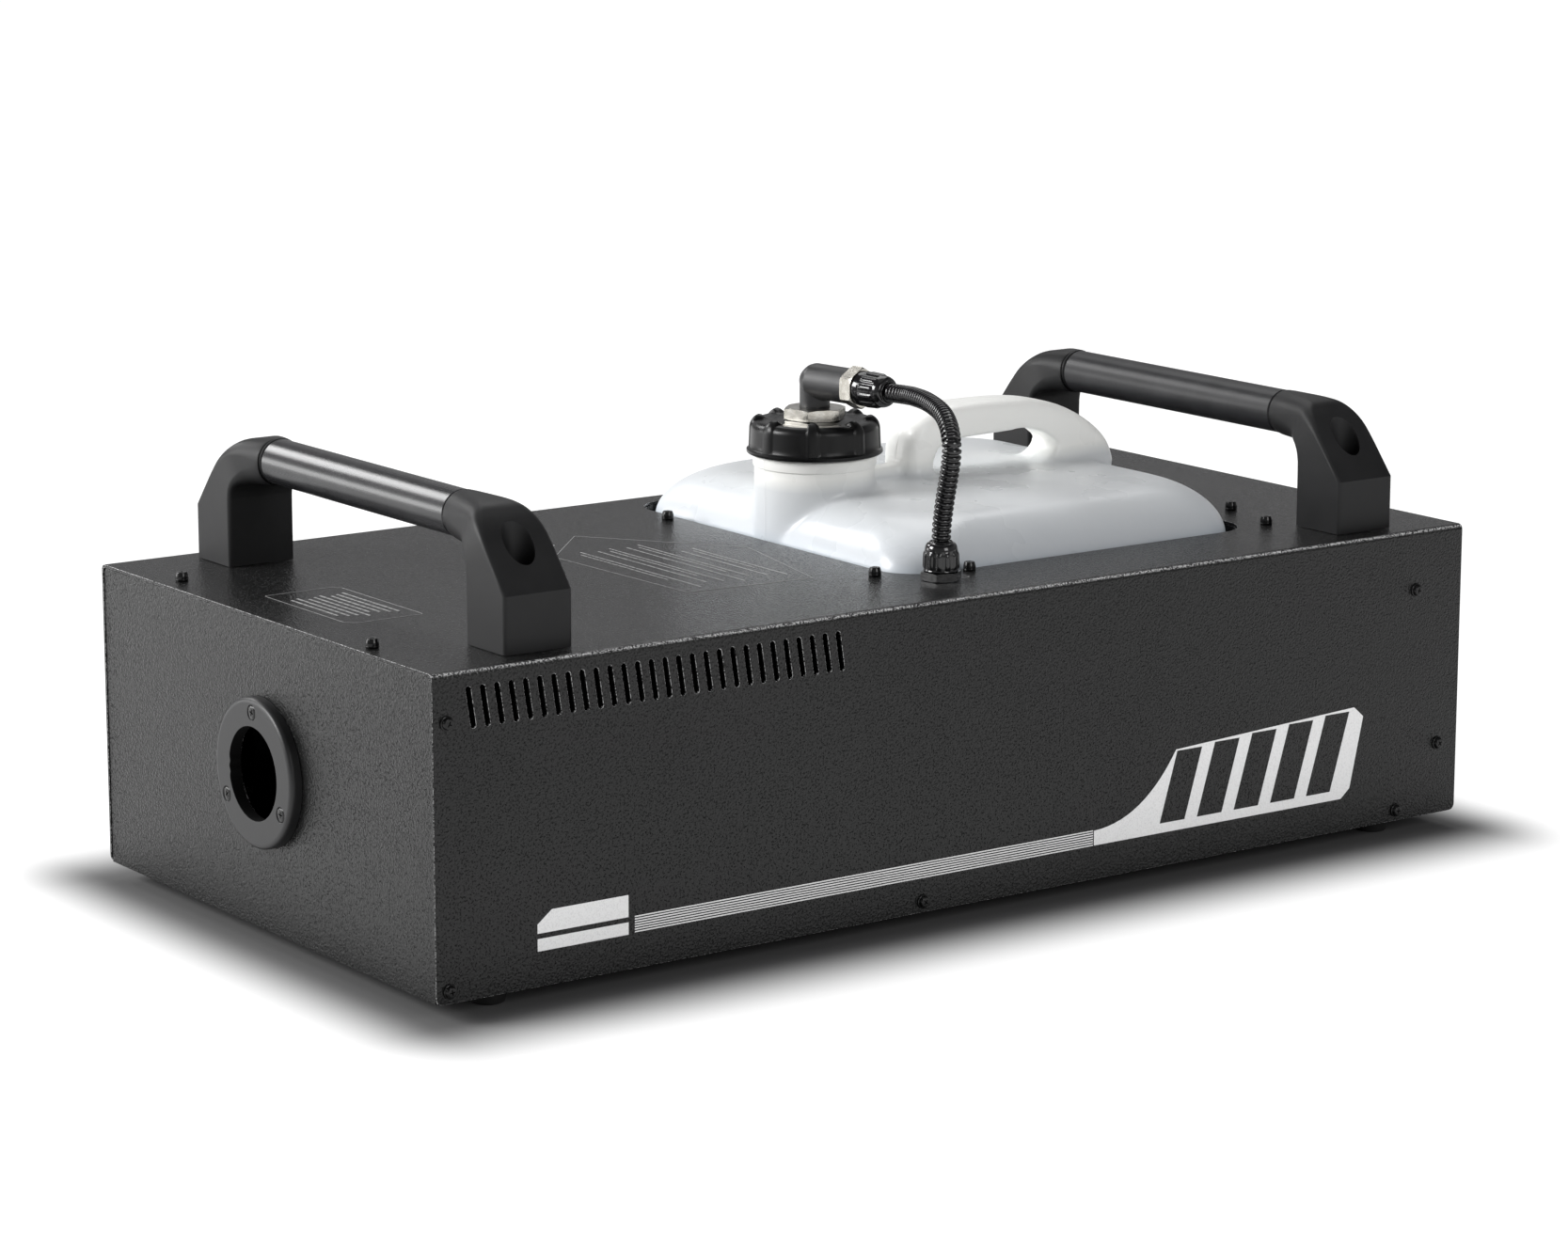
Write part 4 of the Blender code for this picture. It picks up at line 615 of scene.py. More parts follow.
def dashes(x0, x1, y, seed, width=0.0007):
    """A broken thin line, different for each seed."""
    made, x, k = [], x0, seed
    while x < x1 - 0.001:
        k = (k * 37 + 11) % 101
        size = 0.0016 + 0.006 * (k / 101.0)
        stop = min(x + size, x1)
        made.append(bar(x, y, stop, y, width))
        x = stop + 0.0007
    return made


def make_deck_graphics():
    """Two thin outlined panels with rows of plain broken lines."""
    frame_1 = [(-0.036, -0.25), (0.04, -0.25), (0.041, -0.251), (0.041, -0.286),
               (0.036, -0.291), (-0.039, -0.291), (-0.04, -0.29), (-0.04, -0.254)]
    frame_2 = [(-0.083, -0.083), (-0.041, -0.1225), (0.071, -0.118), (0.078, -0.047),
               (-0.006, -0.027)]
    shapes = []
    for outline in (frame_1, frame_2):
        for a, b in zip(outline, outline[1:] + outline[:1]):
            shapes.append(bar(*a, *b, 0.00028))
    for row in range(8):
        y = -0.256 - 0.0042 * row
        shapes += dashes(-0.025 + 0.002 * (row % 3), 0.03 - 0.0026 * (row % 4), y, 7 + row, 0.0012)
    for row in range(7):
        y = -0.052 - 0.0088 * row
        left = -0.044 if row > 1 else -0.02
        shapes += dashes(left + 0.003 * (row % 2), 0.064 - 0.004 * (row % 3), y, 23 + row, 0.0008)
        if row % 2 == 0:
            shapes += dashes(left + 0.006, 0.04, y - 0.0034, 61 + row, 0.0007)
    flat_decal("deck_print", shapes, lambda x, y, off: (x, y, DECK + off), THIN_INK)
    ring = bmesh.new()
    for centre, radius in (((-0.0686, -0.1074), 0.0024), ((0.1188, 0.0163), 0.0026)):
        turned(ring, (*centre, DECK), UP,
               [(0.00001, radius), (0.00007, radius), (0.00007, radius - 0.0004), (0.00001, radius - 0.0004)],
               40, closed=True)
    finish(ring, "deck_rings", None, "chassis", material=THIN_INK)


# ---- screws ----
def cross_tool(bm, origin, direction, size, depth, turn):
    """Cross-recess cutter: one twelve-sided tapered plug."""
    axis = Vector(direction).normalized()
    side, up = frame_of(axis)
    loops = []
    for along, reach, half in ((-depth, size * 0.55, size * 0.12), (0.001, size * 1.05, size * 0.2)):
        loop, centre = [], Vector(origin) + axis * along
        for quarter in range(4):
            angle = turn + quarter * pi / 2
            a = cos(angle) * side + sin(angle) * up
            b = -sin(angle) * side + cos(angle) * up
            loop += [centre + a * u + b * v for u, v in ((reach, -half), (reach, half), (half, half))]
        loops.append(loop)
    loft(bm, loops)


def pan_head(name, places, replaced=(), washer=0.0036, head=0.003, height=0.0027):
    """Black pan-head screws with a collar under the head and a cross recess."""
    bm, tool = bmesh.new(), bmesh.new()
    profile = fillet([(-0.0006, washer - 0.0006), (0.0009, washer), (0.001, head),
                      (height * 0.55, head * 0.98), (height, head * 0.8), (height, 0.0004)], 0.0004, 4)
    for index, (origin, direction) in enumerate(places):
        turned(bm, origin, direction, profile, 40)
        top = Vector(origin) + Vector(direction) * height
        cross_tool(tool, top, direction, head * 0.58, 0.0011, 0.5 + 0.9 * index)
    obj = combine(finish(bm, name), tool)
    even_normals(dress(obj, "screw_black", "chassis", 40))
    if replaced:
        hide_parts(*replaced)


def make_case_screws():
    """Screws round both sides and on the deck."""
    spots = ((-0.31, 0.1317), (-0.3103, 0.006), (-0.0389, 0.0057), (0.2747, 0.0058),
             (0.3033, 0.0385), (0.285, 0.1232))
    for label, side in (("right", 1), ("left", -1)):
        places = [((side * CASE_W / 2, y, Z0 + z), (side, 0, 0)) for y, z in spots]
        pan_head(f"side_screws_{label}", places, (f"side_screw_{label}",))
    deck = ((-0.0965, -0.3056), (0.0933, -0.3092), (-0.094, -0.017), (0.092, -0.019),
            (0.108, 0.028), (0.057, 0.245), (0.1, 0.232), (-0.145, 0.228))
    pan_head("deck_screws", [((x, y, DECK), UP) for x, y in deck],
             washer=0.0034, head=0.0032, height=0.0046)


# ---- fog outlet ----
def make_outlet():
    """Ring with its three countersunk screws."""
    face = FRONT_FACE - GAP

    def lobe(angle):
        """Two low lobes on one side of the hole."""
        total = 0.0
        for centre in (0.1, -0.12):
            gap = (angle - centre + pi) % tau - pi
            total += exp(-(gap / 0.085) ** 2)
        return -0.0011 * total

    rim = RING_HOLE_R + 0.004
    outer = fillet([(0, RING_R), (RING_T, RING_R), (RING_T, rim)], 0.004, 10)[:-1]
    inner = fillet([(RING_T, rim), (RING_T, RING_HOLE_R), (0, RING_HOLE_R)], 0.0004, 3)
    axis = Vector((0, -1, 0))
    loops = [circle(Vector((OUT_X, face, OUT_Z)) + axis * along, axis, radius, 160, 0, shape)
             for profile, shape in ((outer, None), (inner, lobe)) for along, radius in profile]
    ring = finish(shaped(loft, loops, closed=True), "outlet_ring_moulded")
    centres = [(OUT_X + 0.03 * cos(radians(a)), OUT_Z + 0.03 * sin(radians(a))) for a in (90, 210, 330)]
    tool = bmesh.new()
    for x, z in centres:
        turned(tool, (x, face + 0.01, z), axis,
               [(0, 0.0019), (0.01 + RING_T - 0.003, 0.0019), (0.01 + RING_T + 0.0003, 0.0042),
                (0.01 + RING_T + 0.002, 0.0042)], 40)
    combine(ring, tool)
    dress(ring, "nylon_black", "chassis", 32, RING_PLASTIC)
    # painted shade: the hole's inner wall gets the near-black matte material
    ring.data.materials.append(OUTLET_PAINTED_SHADE)
    for part in ring.data.polygons:
        reach = hypot(part.center.x - OUT_X, part.center.z - OUT_Z)
        if reach < RING_HOLE_R + 0.0005 and abs(part.normal.y) < 0.9:
            part.material_index = 1
    even_normals(ring)
    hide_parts("outlet_ring")
    for (x, z), label, turn in zip(centres, ("top", "left", "right"), (0.3, 0.9, 0.1)):
        profile = [(-0.008, 0.0015), (RING_T - 0.003, 0.0015), (RING_T - 0.0007, 0.0033),
                   (RING_T - 0.0003, 0.0034), (RING_T - 0.0001, 0.0031)]
        screw = finish(shaped(turned, (x, face, z), axis, profile, 40), f"ring_screw_head_{label}")
        combine(screw, shaped(cross_tool, (x, face - RING_T, z), axis, 0.002, 0.0013, turn))
        dress(screw, "screw_black", "chassis", 35)
        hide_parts(f"ring_screw_{label}")


# ---- handles ----
SHANK_STATIONS = (
    ((-0.017, 0.0000), (0.017, 0.0000), SHANK_D / 2, 0.0022),
    ((-0.017, 0.0275), (0.017, 0.0275), SHANK_D / 2, 0.0022),
    ((-0.0171, 0.034), (0.0097, 0.0365), SHANK_D / 2, 0.0022),
    ((-0.018, 0.0385), (0.0014, 0.0467), SHANK_D / 2, 0.0024),
    ((-0.0203, 0.0415), (-0.005, 0.0545), 0.0182, 0.0034),
    ((-0.024, 0.0428), (-0.012, 0.0608), 0.017, 0.0055),
    ((-0.029, 0.0431), (-0.0197, 0.0648), 0.015, 0.0085),
)


def shank_section(inner, outer, half_depth, corner, y):
    """Rounded rectangle between an inner and an outer (x, z) point."""
    mid = Vector(((inner[0] + outer[0]) / 2, y, (inner[1] + outer[1]) / 2))
    reach = Vector(((outer[0] - inner[0]) / 2, 0, (outer[1] - inner[1]) / 2))
    half, along = reach.length, reach.normalized()
    return [mid + u * along + Vector((0, v, 0))
            for u, v in rounded(half, half_depth, min(corner, half, half_depth), 8)]


def make_shank(label, side, y):
    """Moulded leg from a square foot to the tube's end."""
    foot = DECK + GAP
    tube_end = TUBE_SHIFT + side * TUBE_HALF
    arm, arm_z = 0.0118, TUBE_Z - foot
    stations = [(side * (SHANK_X + a[0]), a[1], side * (SHANK_X + b[0]), b[1], depth, corner)
                for a, b, depth, corner in SHANK_STATIONS]
    middle = (tube_end + side * (SHANK_X - 0.033)) / 2
    stations.append((middle - side * 0.0014, arm_z - arm, middle + side * 0.0014, arm_z + arm - 0.0003,
                     0.0128, 0.0108))
    stations.append((tube_end + side * 0.0016, arm_z - arm, tube_end + side * 0.0016, arm_z + arm, arm, arm))
    curved = smooth_rows(stations[2:], 4)
    loops = [shank_section((x0, foot + z0), (x1, foot + z1), depth, corner, y)
             for x0, z0, x1, z1, depth, corner in stations[:2] + curved]
    loops.append(circle_like(loops[-1], (tube_end + side * 0.0007, y, TUBE_Z), 0.0117))
    loops.append(circle_like(loops[-1], (tube_end, y, TUBE_Z), 0.011))
    shank = finish(shaped(loft, loops), f"{label}_leg")
    combine(shank, shaped(turned, (side * SHANK_X, y, foot - 0.01), UP,
                          [(0, 0.0044), (0.024, 0.0044), (0.024, 0.0077), (0.1, 0.0077)], 64))
    combine(shank, shaped(rod, (tube_end - side * 0.01, y, TUBE_Z), (tube_end + side * 0.012, y, TUBE_Z),
                          0.008, 40))
    apply_all(soften_edges(shank, 0.0005, 58))
    even_normals(dress(shank, "nylon_black", "chassis", 26))
    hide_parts(label)


def circle_like(loop, centre, radius):
    """Circle round the tube's axis with its points in line with an earlier loop."""
    centre = Vector(centre)
    return [centre + Vector((0, point.y - centre.y, point.z - centre.z)).normalized() * radius
            for point in loop]


def make_handles():
    """Both carrying handles."""
    length, plug, edge = 2 * TUBE_HALF - 2 * GAP, 0.011, 0.0006
    profile = [(-plug, 0.006), (-plug, 0.0077), (0, 0.0077), (0, TUBE_R - edge), (edge, TUBE_R)]
    profile += [(length * k / 8, TUBE_R) for k in range(1, 8)]
    profile += [(length - along, radius) for along, radius in reversed(profile[:5])]
    for prefix, y in HANDLES.items():
        for word, side in SIDES:
            make_shank(f"{prefix}_handle_shank_{word}", side, y)
        bm = shaped(turned, (TUBE_SHIFT - length / 2, y, TUBE_Z), (1, 0, 0), profile, 96, closed=True)
        satin = MATS["tube_black"] if prefix == "front" else DULL_TUBE
        tube = finish(bm, f"{prefix}_grip_tube", "tube_black", "chassis", 30, satin)
        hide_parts(f"{prefix}_handle_tube")
        for word, side in SIDES:
            make_cap_screw(f"{prefix}_handle", word, side, y)


def make_cap_screw(prefix, word, side, y):
    """Socket screw at the bottom of a leg's counterbore."""
    low, height = DECK + GAP + 0.014 + GAP, 0.008
    profile = fillet([(0, 0.0058), (0.0004, 0.0065), (height - 0.0005, 0.0065), (height, 0.006),
                      (height, 0.0001)], 0.0004, 3)
    x = side * SHANK_X
    screw = finish(shaped(turned, (x, y, low), UP, profile, 64), f"{prefix}_socket_{word}")
    combine(screw, shaped(rod, (x, y, low + 0.004), (x, y, low + 0.02), 0.0034, 6))
    dress(screw, "screw_black", "chassis", 35)
    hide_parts(f"{prefix}_screw_{word}")


# ---- can ----
GRIP_OUTLINE = (
    (0.000, 0.016), (0.003, 0.026), (0.01, 0.033), (0.022, 0.0368),
    (0.04, 0.0378), (0.075, 0.037), (0.101, 0.0318), (0.121, 0.0222), (0.135, 0.0102),
    (0.1405, -0.002),
)
GRIP_Y, GRIP_HALF, GRIP_HOLE = 0.078, 0.014, (0.016, 0.101, 0.0212)
LUG_HALF, LUG_Y = 0.0058, NECK_Y + 0.028


def at_neck(z, x=0.0, y=0.0):
    """Point at a height on the neck's axis, or beside it."""
    return (NECK_X + x, NECK_Y + y, z)


def tank_loops(bottom, top):
    """Loops of the can's body."""
    loops, bend = [], 0.01
    for step in range(7):
        angle = pi / 2 * step / 6
        shrink = bend * (1 - sin(angle))
        loops.append(rounded_rect(BAY_X, BAY_Y, TANK_W - 2 * shrink, TANK_L - 2 * shrink,
                                  max(TANK_R - shrink * 0.5, 0.006), bottom + bend * (1 - cos(angle))))
    rise = SHOULDER * 0.95
    for step in range(17):
        angle = pi / 2 * step / 16
        shrink = SHOULDER * (1 - cos(angle))
        lean = 0.15 * shrink
        loops.append(rounded_rect(BAY_X, BAY_Y + lean, TANK_W - 2 * shrink, TANK_L - 2 * shrink + lean,
                                  TANK_R + shrink * 0.5, top - rise + rise * sin(angle)))
    for share in (0.25, 0.5, 0.75, 1.0):
        drop = SHOULDER + share * (0.06 - SHOULDER)
        loops.append(rounded_rect(BAY_X, BAY_Y + 0.0045 * (1 - share), TANK_W - 2 * drop, TANK_L - 2 * drop,
                                  0.039 + 0.001 * share, top + 0.0015 * sin(pi / 2 * share)))
    return loops


def make_grip():
    """Arched handle with its hand hole."""
    loops = []
    for across, inset in ((-1.0, 0.0055), (-0.93, 0.0028), (-0.78, 0.001), (-0.5, 0.0), (0.5, 0.0),
                          (0.78, 0.001), (0.93, 0.0028), (1.0, 0.0055)):
        loop, x = [], BAY_X + across * GRIP_HALF
        for y, z in smooth_rows(GRIP_OUTLINE, 4):
            toward = Vector((0, 0.068 - y, 0.004 - z)).normalized() * inset
            loop.append((x, GRIP_Y + y + toward.y, TANK_TOP + z + toward.z))
        loops.append([(x, loop[0][1], TANK_TOP - 0.012), *loop, (x, loop[-1][1] - 0.003, TANK_TOP - 0.014)])
    grip = finish(shaped(loft, loops), "grip")
    start, end, height = GRIP_HOLE
    outline = [(start, -0.02), (start, height - 0.011), (start + 0.003, height - 0.005),
               (start + 0.01, height - 0.002), (end - 0.022, height), (end - 0.008, height - 0.004),
               (end, height - 0.01), (end - 0.002, height - 0.014), (end - 0.01, 0.001),
               (end - 0.026, -0.003), (end - 0.032, -0.02)]
    skew, middle = 0.12, 0.05          # only the rear wall of the opening leans
    hole = [[(BAY_X + x, GRIP_Y + y - (skew * x if y > middle else 0), TANK_TOP + z) for y, z in outline]
            for x in (-0.03, 0.03)]
    return combine(grip, shaped(loft, hole))


def settle_body(can, pattern):
    """Draw the skin back to the smooth body it was cast from, away from neck, lug and handle."""
    group = can.vertex_groups.new(name="body")
    for vertex in can.data.vertices:
        x, y, z = vertex.co
        from_neck = hypot(x - NECK_X, y - NECK_Y) - NECK_R
        from_grip = hypot(max(abs(x - BAY_X) - GRIP_HALF, 0), max(GRIP_Y - y, 0))
        from_lug = hypot(max(abs(x - BAY_X) - 0.006, 0), max(LUG_Y - y, y - GRIP_Y, 0))
        share = min(1.0, max(0.0, (min(from_neck, from_grip, from_lug) - 0.004) / 0.01))
        if share > 0 and z < TANK_TOP + 0.004:
            share *= share * (3 - 2 * share)
            place = pattern.find_nearest(vertex.co)[0]
            vertex.co = vertex.co.lerp(place, share)
            group.add([vertex.index], 1.0, "REPLACE")
    apply_all(modify(can, "SMOOTH", vertex_group=group.name, factor=0.5, iterations=10))
    can.vertex_groups.clear()


def make_can():
    """Blow-moulded can: body, neck, handle and lug in one soft skin."""
    body = shaped(loft, tank_loops(TANK_BOTTOM, TANK_TOP))
    pattern = BVHTree.FromBMesh(body)
    can = finish(body, "fluid_can")
    combine(can, shaped(rod, at_neck(DECK - 0.03), at_neck(CAP_BOTTOM - 0.0008), NECK_R, 96), "UNION")
    combine(can, make_grip(), "UNION")
    combine(can, shaped(box, BAY_X - LUG_HALF, BAY_X + LUG_HALF, LUG_Y, GRIP_Y + 0.001, DECK + 0.0172,
                        DECK + 0.0313), "UNION")
    remesh(can, 0.00165, 14)
    settle_body(can, pattern)
    dress(can, "can_natural", "tank", 80)
    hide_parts("tank")
    profile = fillet([(0, NECK_R - 0.0004), (0.0004, NECK_R + 0.0006), (0.0058, NECK_R + 0.0006),
                      (0.0064, NECK_R - 0.0002), (0.0064, 0.0285), (0.018, 0.0285), (0.0196, 0.0275)],
                     0.0005, 3)
    finish(shaped(turned, at_neck(CAP_BOTTOM - 0.007), UP, profile, 96), "can_mouth",
           "can_natural", "tank")


def make_cap():
    """Screw cap with eight rounded ribs that stand above the rim."""
    height, segments = CAP_TOP - CAP_BOTTOM, 288
    share = 0.0036 * CAP_RIBS / (tau * CAP_R)
    # height, radius, how far the ribs stand out and how far they stand up
    rows = [(0.0, CAP_LIP_R - 0.0005, 0, 0), (0.0005, CAP_LIP_R, 0, 0), (0.0018, CAP_LIP_R, 0, 0),
            (0.0024, CAP_R + 0.0004, 0.4, 0), (0.003, CAP_R, 1, 0)]
    rows += [(0.003 + (height - 0.0075) * k / 4, CAP_R - 0.0001 * k, 1, 0) for k in range(1, 5)]
    for k in range(1, 9):
        angle = pi / 2 * k / 8
        rows.append((height - 0.0045 + 0.0045 * sin(angle), CAP_R - 0.0004 - 0.0045 * (1 - cos(angle)),
                     1 - 0.6 * k / 8, k / 8))
    rows += [(height, CAP_R - 0.0062, 0.2, 0.9), (height, CAP_R - 0.0075, 0.0, 0.55),
             (height, CAP_R - 0.0088, 0, 0.12)]
    inside = ((0.0002, CAP_R - 0.0095), (0.0006, 0.0225), (0.0006, 0.02), (0, 0.0185), (0, STUB_R + GAP),
              (0.0022, STUB_R + GAP), (0.0022, 0.0292), (height, 0.0292))
    rows += [(height - drop, radius, 0, 0) for drop, radius in inside]
    loops = []
    for along, radius, out, up in rows:
        loop = []
        for i in range(segments):
            angle = tau * i / segments
            rib = ridge(angle, CAP_RIBS, share, 0.336)
            z, reach = CAP_BOTTOM + along + 0.0024 * rib * up, radius + 0.0007 * rib * out
            loop.append(at_neck(z, reach * cos(angle), reach * sin(angle)))
        loops.append(loop)
    cap = finish(shaped(loft, loops, closed=True), "screw_cap", "cap_black", "cap", 50)
    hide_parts("tank_cap")


def elbow_point(along):
    """Point on the elbow's outlet axis."""
    return Vector((NECK_X + along * cos(ELBOW_YAW), NECK_Y + along * sin(ELBOW_YAW), ELBOW_Z))


def hex_piece(name, start, end, across_flats, turn, bore, chamfer, slot, body, replaced):
    """Hexagon with turned chamfers and a bore."""
    start, end = Vector(start), Vector(end)
    length, axis = (end - start).length, end - start
    radius, flat = across_flats / sqrt(3), across_flats / 2 + chamfer * 0.2
    piece = finish(shaped(rod, start, end, radius, 6, turn), name)
    combine(piece, shaped(turned, start - axis.normalized() * 0.0001, axis,
                          [(0, flat), (chamfer + 0.0001, radius + 0.0003),
                           (length + 0.0001 - chamfer, radius + 0.0003), (length + 0.0002, flat)], 96),
            "INTERSECT")
    combine(piece, shaped(rod, start - axis, end + axis, bore, 64))
    apply_all(soften_edges(piece, 0.00025, 25))
    even_normals(dress(piece, slot, body, 40))
    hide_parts(replaced)


def fluted(name, origin, direction, length, plain, body):
    """Domed swivel nut with raised bars round it; it has a body and a node of the same name."""
    axis, origin, count = Vector(direction).normalized(), Vector(origin), 12
    high = length - 0.0052
    # height, radius and share of the bars' full height
    plan = [(0.0, 0.0086, 0), (0.0004, 0.009, 0), (max(plain - 0.0006, 0.0005), 0.009, 0)]
    plan += [(plain + rise, 0.0087, share)
             for rise, share in ((0, 0), (0.0004, 0.5), (0.0009, 0.85), (0.0015, 1))]
    plan += [(plain + 0.0015 + (high - plain - 0.0025) * k / 5, 0.0087 - 0.00006 * k, 1) for k in range(1, 6)]
    plan += [(high - 0.0005, 0.0083, 0.8), (high, 0.0083, 0.4), (high + 0.0003, 0.0083, 0)]
    for k in range(1, 9):
        angle = pi / 2 * k / 8
        plan.append((high + 0.0003 + 0.0042 * sin(angle), 0.0061 + 0.0022 * cos(angle), 0))
    plan += [(length - 0.0002, 0.0059, 0), (length, 0.0056, 0), (length, 0.0053, 0),
             (length * 0.58, 0.0053, 0), (length * 0.58, 0.0066, 0), (0.0, 0.0066, 0)]
    loops = [circle(origin + axis * along, axis, radius, count * 16, 0,
                    lambda angle, full=0.00062 * factor: full * ridge(angle, count, 0.27))
             for along, radius, factor in plan]
    nut = finish(shaped(loft, loops, closed=True), name, "conduit_black", body, 40)
    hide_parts(body)


def make_fitting():
    """Nut, elbow, collar and swivel nut above the cap."""
    nut_base = CAP_TOP + GAP
    nut_top = nut_base + NUT_H
    hex_piece("cap_hex", at_neck(nut_base), at_neck(nut_top), NUT_AF, radians(18),
              0.008, 0.0007, "nickel", "tank", "cap_nut")
    elbow = finish(shaped(rod, at_neck(nut_top + GAP), at_neck(ELBOW_Z + 0.001), STUB_R, 96),
                   "elbow_moulded")
    axis = elbow_point(1) - elbow_point(0)
    profile = [(-0.0079, 0.003), (-0.0072, 0.0042), (-0.0058, 0.0057), (-0.004, 0.0071), (-0.002, 0.0084),
               (0.0005, BARREL_R), (0.0275, BARREL_R)]
    combine(elbow, shaped(turned, elbow_point(0), axis, profile, 96), "UNION")
    remesh(elbow, 0.0003, 4)
    stem = shaped(rod, at_neck(CAP_BOTTOM - 0.002), at_neck(nut_top + 0.002), 0.0077, 48)
    rod(stem, elbow_point(0.0262), elbow_point(0.046), 0.0062, 48)
    finish(stem, "elbow_stem", "nylon_black", "tank", material=ELBOW_PLASTIC)
    dress(elbow, "nylon_black", "tank", 45, ELBOW_PLASTIC)
    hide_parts("elbow")
    hex_piece("collar_hex", elbow_point(0.0278), elbow_point(0.0355), 0.019, radians(30), 0.0065, 0.0007,
              "nickel", "tank", "elbow_collar")
    fluted("hose_swivel", elbow_point(0.0358), axis, 0.019, 0.004, "hose_nut")


def hose_points():
    """Centre line of the hose from the elbow to the deck gland."""
    rows = ((0.05, 0.0318, 0.2358), (0.062, 0.028, 0.2368), (0.08, 0.0226, 0.237),
            (0.103, 0.0136, 0.2355), (0.118, 0.0064, 0.2315), (0.1262, 0.002, 0.2245),
            (0.1268, 0.0014, 0.216), (0.125, 0.0015, 0.208), (0.1218, 0.0017, 0.196),
            (0.1192, 0.002, 0.184), (GLAND_X, GLAND_Y, 0.1755), (GLAND_X, GLAND_Y, 0.1715))
    return [elbow_point(0.053), elbow_point(0.057)] + [(x, y, Z0 + z) for x, y, z in rows]


def make_hose():
    """Corrugated conduit between the swivel nut and the deck gland."""
    step, pitch, depth, bead = 0.0003, 0.003, 0.0012, 0.76
    path = even_path([Vector(row) for row in smooth_rows(hose_points(), 14)], step)
    radii = []
    for index in range(len(path)):
        across = abs(2 * ((index * step / pitch) % 1.0) - 1) / bead
        radii.append(HOSE_R - depth * (1 - sqrt(max(0.0, 1 - across ** 2.4))))
    hose = finish(shaped(loft, pipe_loops(path, radii, 36)), "suction_conduit", "conduit_black", "tank", 60)
    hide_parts("hose")


def make_gland():
    """Deck gland: hexagonal foot and fluted nut."""
    seat = DECK + GAP
    hex_piece("gland_hex", (GLAND_X, GLAND_Y, seat), (GLAND_X, GLAND_Y, seat + 0.0042), GLAND_AF, 0.35,
              0.0036, 0.0006, "conduit_black", "chassis", "gland_body")
    fluted("gland_swivel", (GLAND_X, GLAND_Y, seat + 0.0045), UP, 0.0148, 0.001, "gland_nut")


def make_feet():
    """Round rubber feet."""
    profile = fillet([(0.0, 0.0045), (0.0, 0.008), (FOOT_H * 0.4, 0.0088), (FOOT_H, 0.009),
                      (FOOT_H, 0.002)], 0.0006, 3) + [(0.0035, 0.002), (0.0035, 0.0045)]
    for end_word, end in (("front", -1), ("rear", 1)):
        for word, side in SIDES:
            bm = shaped(turned, (side * FOOT_X, end * FOOT_Y, 0), UP, profile, 64, closed=True)
            foot = finish(bm, f"pad_{end_word}_{word}", "rubber_black", "chassis")
            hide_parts(f"foot_{end_word}_{word}")


# ---- carried-over nodes ----
def dress_frame():
    """Materials and softened edges on the CAD nodes that stay in sight."""
    slots = {row["node"]: row["material_slot"] for row in frame["record"]["subparts"]}
    edged = {"switch_rocker": 0.0004, "tank_bay": 0.0002}
    edged.update(dict.fromkeys(("front_panel", "rear_panel", "base_pan", "mains_inlet", "switch_frame",
                                "fuse_cap", "fuse_holder", "remote_socket"), 0.0003))
    # parts behind the outlet take the painted shade material
    painted_shade_parts = ("nozzle", "heater_shield", "heater_block", "heater_stand_front", "heater_stand_rear")
    for name, node in frame["nodes"].items():
        if node.hide_render:
            continue
        node.data.materials.clear()
        node.data.materials.append(OUTLET_PAINTED_SHADE if name in painted_shade_parts else MATS[slots[name]])
        if name in edged:
            soften_edges(modify(node, "WELD", merge_threshold=0.00001), edged[name], 50)


# ---- floor, light, camera ----
LIGHTS = (          # name, place, target, width, height, watts
    ("back", (-1.1, 0.8, 2.0), (0, 0, 0), 1.5, 1.3, 14),
    ("top", (0.1, 0.1, 2.3), (0, 0, 0), 1.8, 1.8, 3),
    ("left", (-2.1, -0.72, 1.45), (0, 0, 0.15), 0.9, 0.6, 16),
    ("front", (-1.9, -1.7, 0.35), (0, -0.3, 0.1), 1.3, 0.5, 11),
    ("key", (-1.1, -2.3, 1.35), (0, 0, 0.15), 1.2, 1.0, 78),
    ("right", (2.2, 0.0, 1.0), (0, 0, 0.15), 0.9, 0.9, 14),
)
CAMERA_AT, YAW, PITCH, ROLL, LENS = (1.9066, -1.37576, 0.61632), 0.94872, 0.20734, 0.0008, 106.67
FLOOR_HALF, PAINTED_SHADOW_REACH, PAINTED_SHADOW_STRETCH = 14.0, 0.078, 1.38


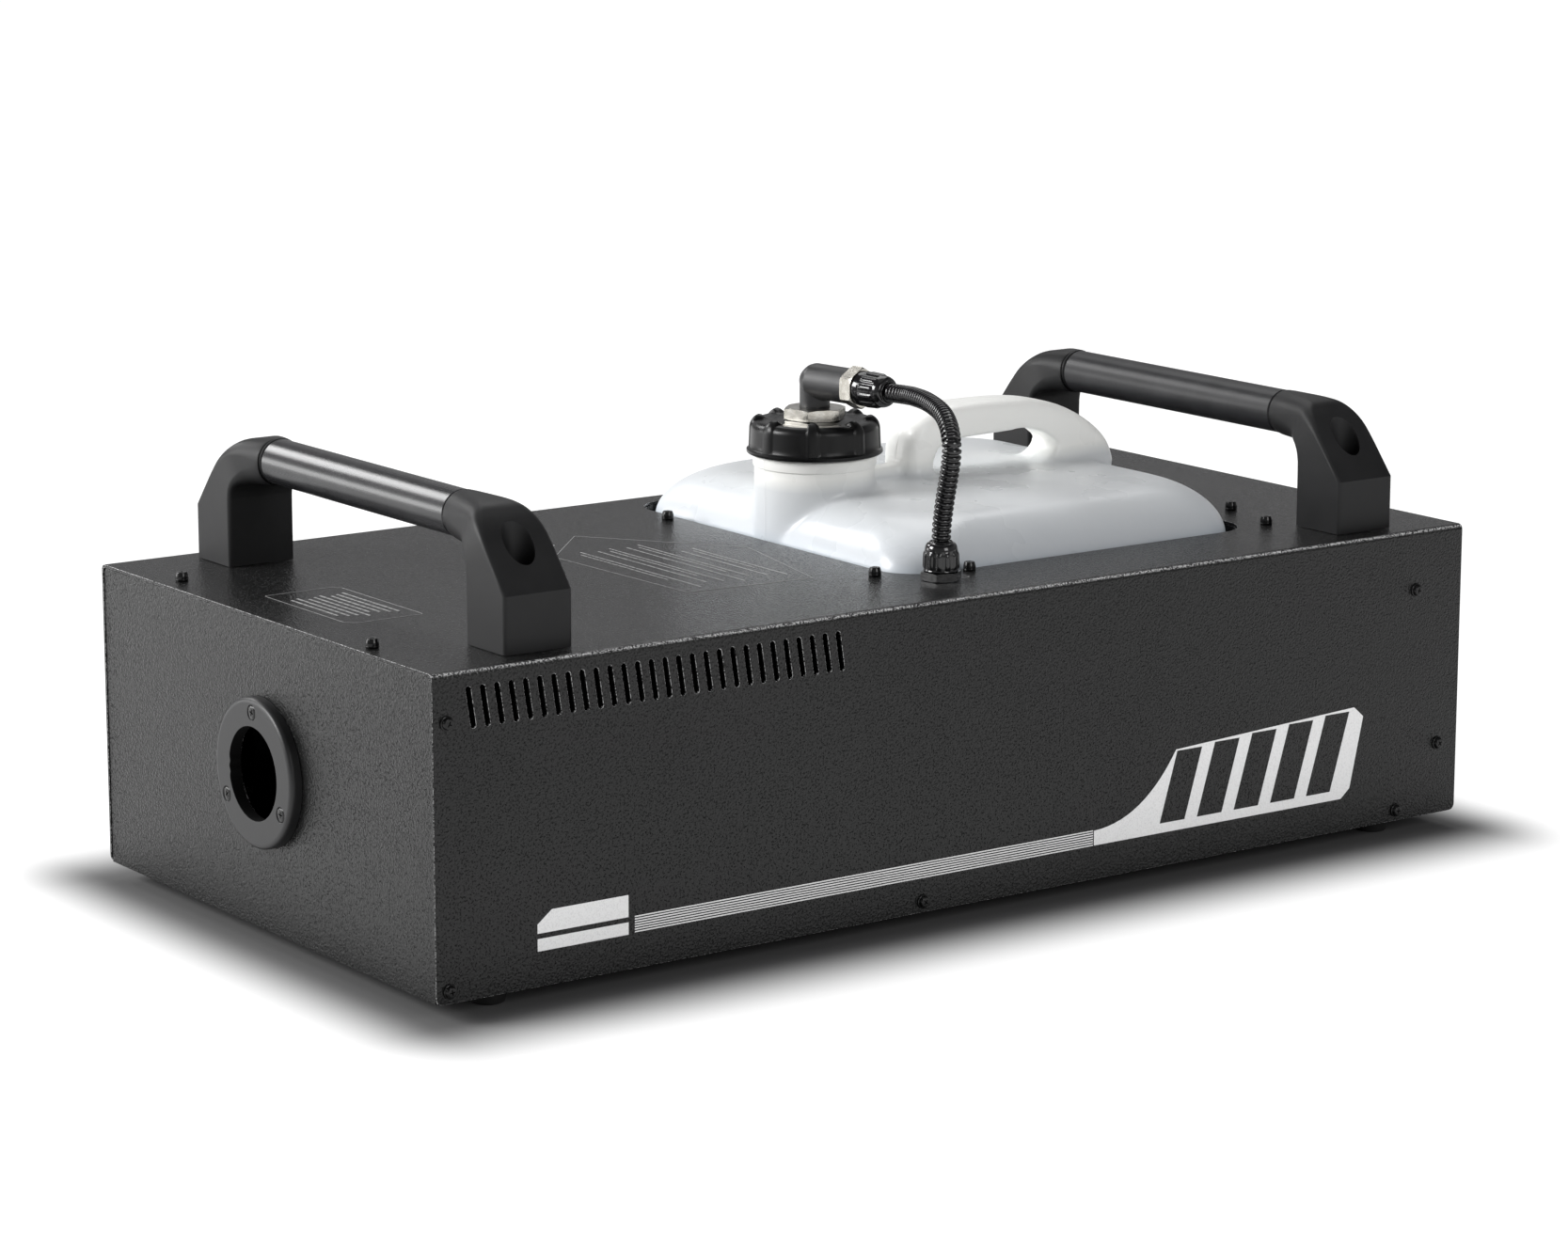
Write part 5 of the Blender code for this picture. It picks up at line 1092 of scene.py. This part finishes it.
def make_floor():
    """Grey floor whose own glow turns it white away from the case; the dark rim it leaves round the case is a
    painted contact shadow.
    """
    corners = ((-1, -1), (1, -1), (1, 1), (-1, 1))
    bm = bmesh.new()
    bm.faces.new([bm.verts.new((x * FLOOR_HALF, y * FLOOR_HALF, -0.0002)) for x, y in corners])
    floor = finish(bm, "floor")
    n = Nodes("floor_glow_painted_shadow")
    past_case = n.vector("SUBTRACT", n.vector("ABSOLUTE", n.place()), (CASE_W / 2, CASE_L / 2, 0))
    past_case = n.vector("MULTIPLY", n.vector("MAXIMUM", past_case, (0, 0, 0)), (1.0, PAINTED_SHADOW_STRETCH, 0.0))
    # painted contact shadow: no glow right beside the case, full glow past the reach
    glow = n.spread(n.vector("LENGTH", past_case), 0.0, 1.0, 0.0, PAINTED_SHADOW_REACH, interpolation_type="SMOOTHSTEP")
    n.set(Base_Color=n.shades(n.noise(0.6, 2), (1, 1, 1), (0.3, 0.148), (0.7, 0.152)),
          Emission_Strength=glow, Roughness=0.9, Specular_IOR_Level=0.0, Emission_Color=(1, 1, 1, 1))
    n.owner.cycles.emission_sampling = "NONE"
    floor.data.materials.append(n.owner)


def make_world():
    """Soft grey surroundings, lightest a little above the horizon."""
    n = Nodes("world", bpy.data.worlds.new("world"), "Background")
    bpy.context.scene.world = n.owner
    n.set(Color=n.ramp(n.axis("Z", "Generated"), [(0.0, (0.33, 0.33, 0.335)), (0.17, (0.31, 0.31, 0.315)),
                                                  (0.27, (0.43, 0.43, 0.435)), (0.65, (0.12, 0.12, 0.125))]),
          Strength=1.0)


def place(name, data, position, rotation):
    """Lamp or camera in the scene."""
    obj = bpy.data.objects.new(name, data)
    obj.location = position
    obj.rotation_mode = "QUATERNION"
    obj.rotation_quaternion = rotation
    bpy.context.scene.collection.objects.link(obj)
    return obj


def make_lights():
    """Soft rectangular lamps."""
    for name, position, target, width, height, watts in LIGHTS:
        light = bpy.data.lights.new(name, "AREA")
        light.shape = "RECTANGLE"
        light.size, light.size_y, light.energy = width, height, watts
        place(name, light, position, (Vector(target) - Vector(position)).to_track_quat("-Z", "Y"))


def make_camera():
    """Camera at the photograph's viewing angle."""
    camera = bpy.data.cameras.new("camera")
    camera.lens, camera.sensor_width = LENS, 36.0
    camera.clip_start, camera.clip_end = 0.05, 60
    camera.dof.use_dof = False
    back = Vector((sin(YAW) * cos(PITCH), -cos(YAW) * cos(PITCH), sin(PITCH)))
    right = Vector((cos(YAW), sin(YAW), 0))
    up = back.cross(right)
    rows = (right * cos(ROLL) + up * sin(ROLL), up * cos(ROLL) - right * sin(ROLL), back)
    bpy.context.scene.camera = place("camera", camera, CAMERA_AT, Matrix(rows).transposed().to_quaternion())
    bpy.context.scene.view_settings.view_transform = "Standard"


make_floor()
make_world()
make_lights()
make_camera()
make_hose()
make_cover()
make_side_graphics()
make_deck_graphics()
make_case_screws()
make_outlet()
make_handles()
make_can()
make_cap()
make_fitting()
make_gland()
make_feet()
dress_frame()
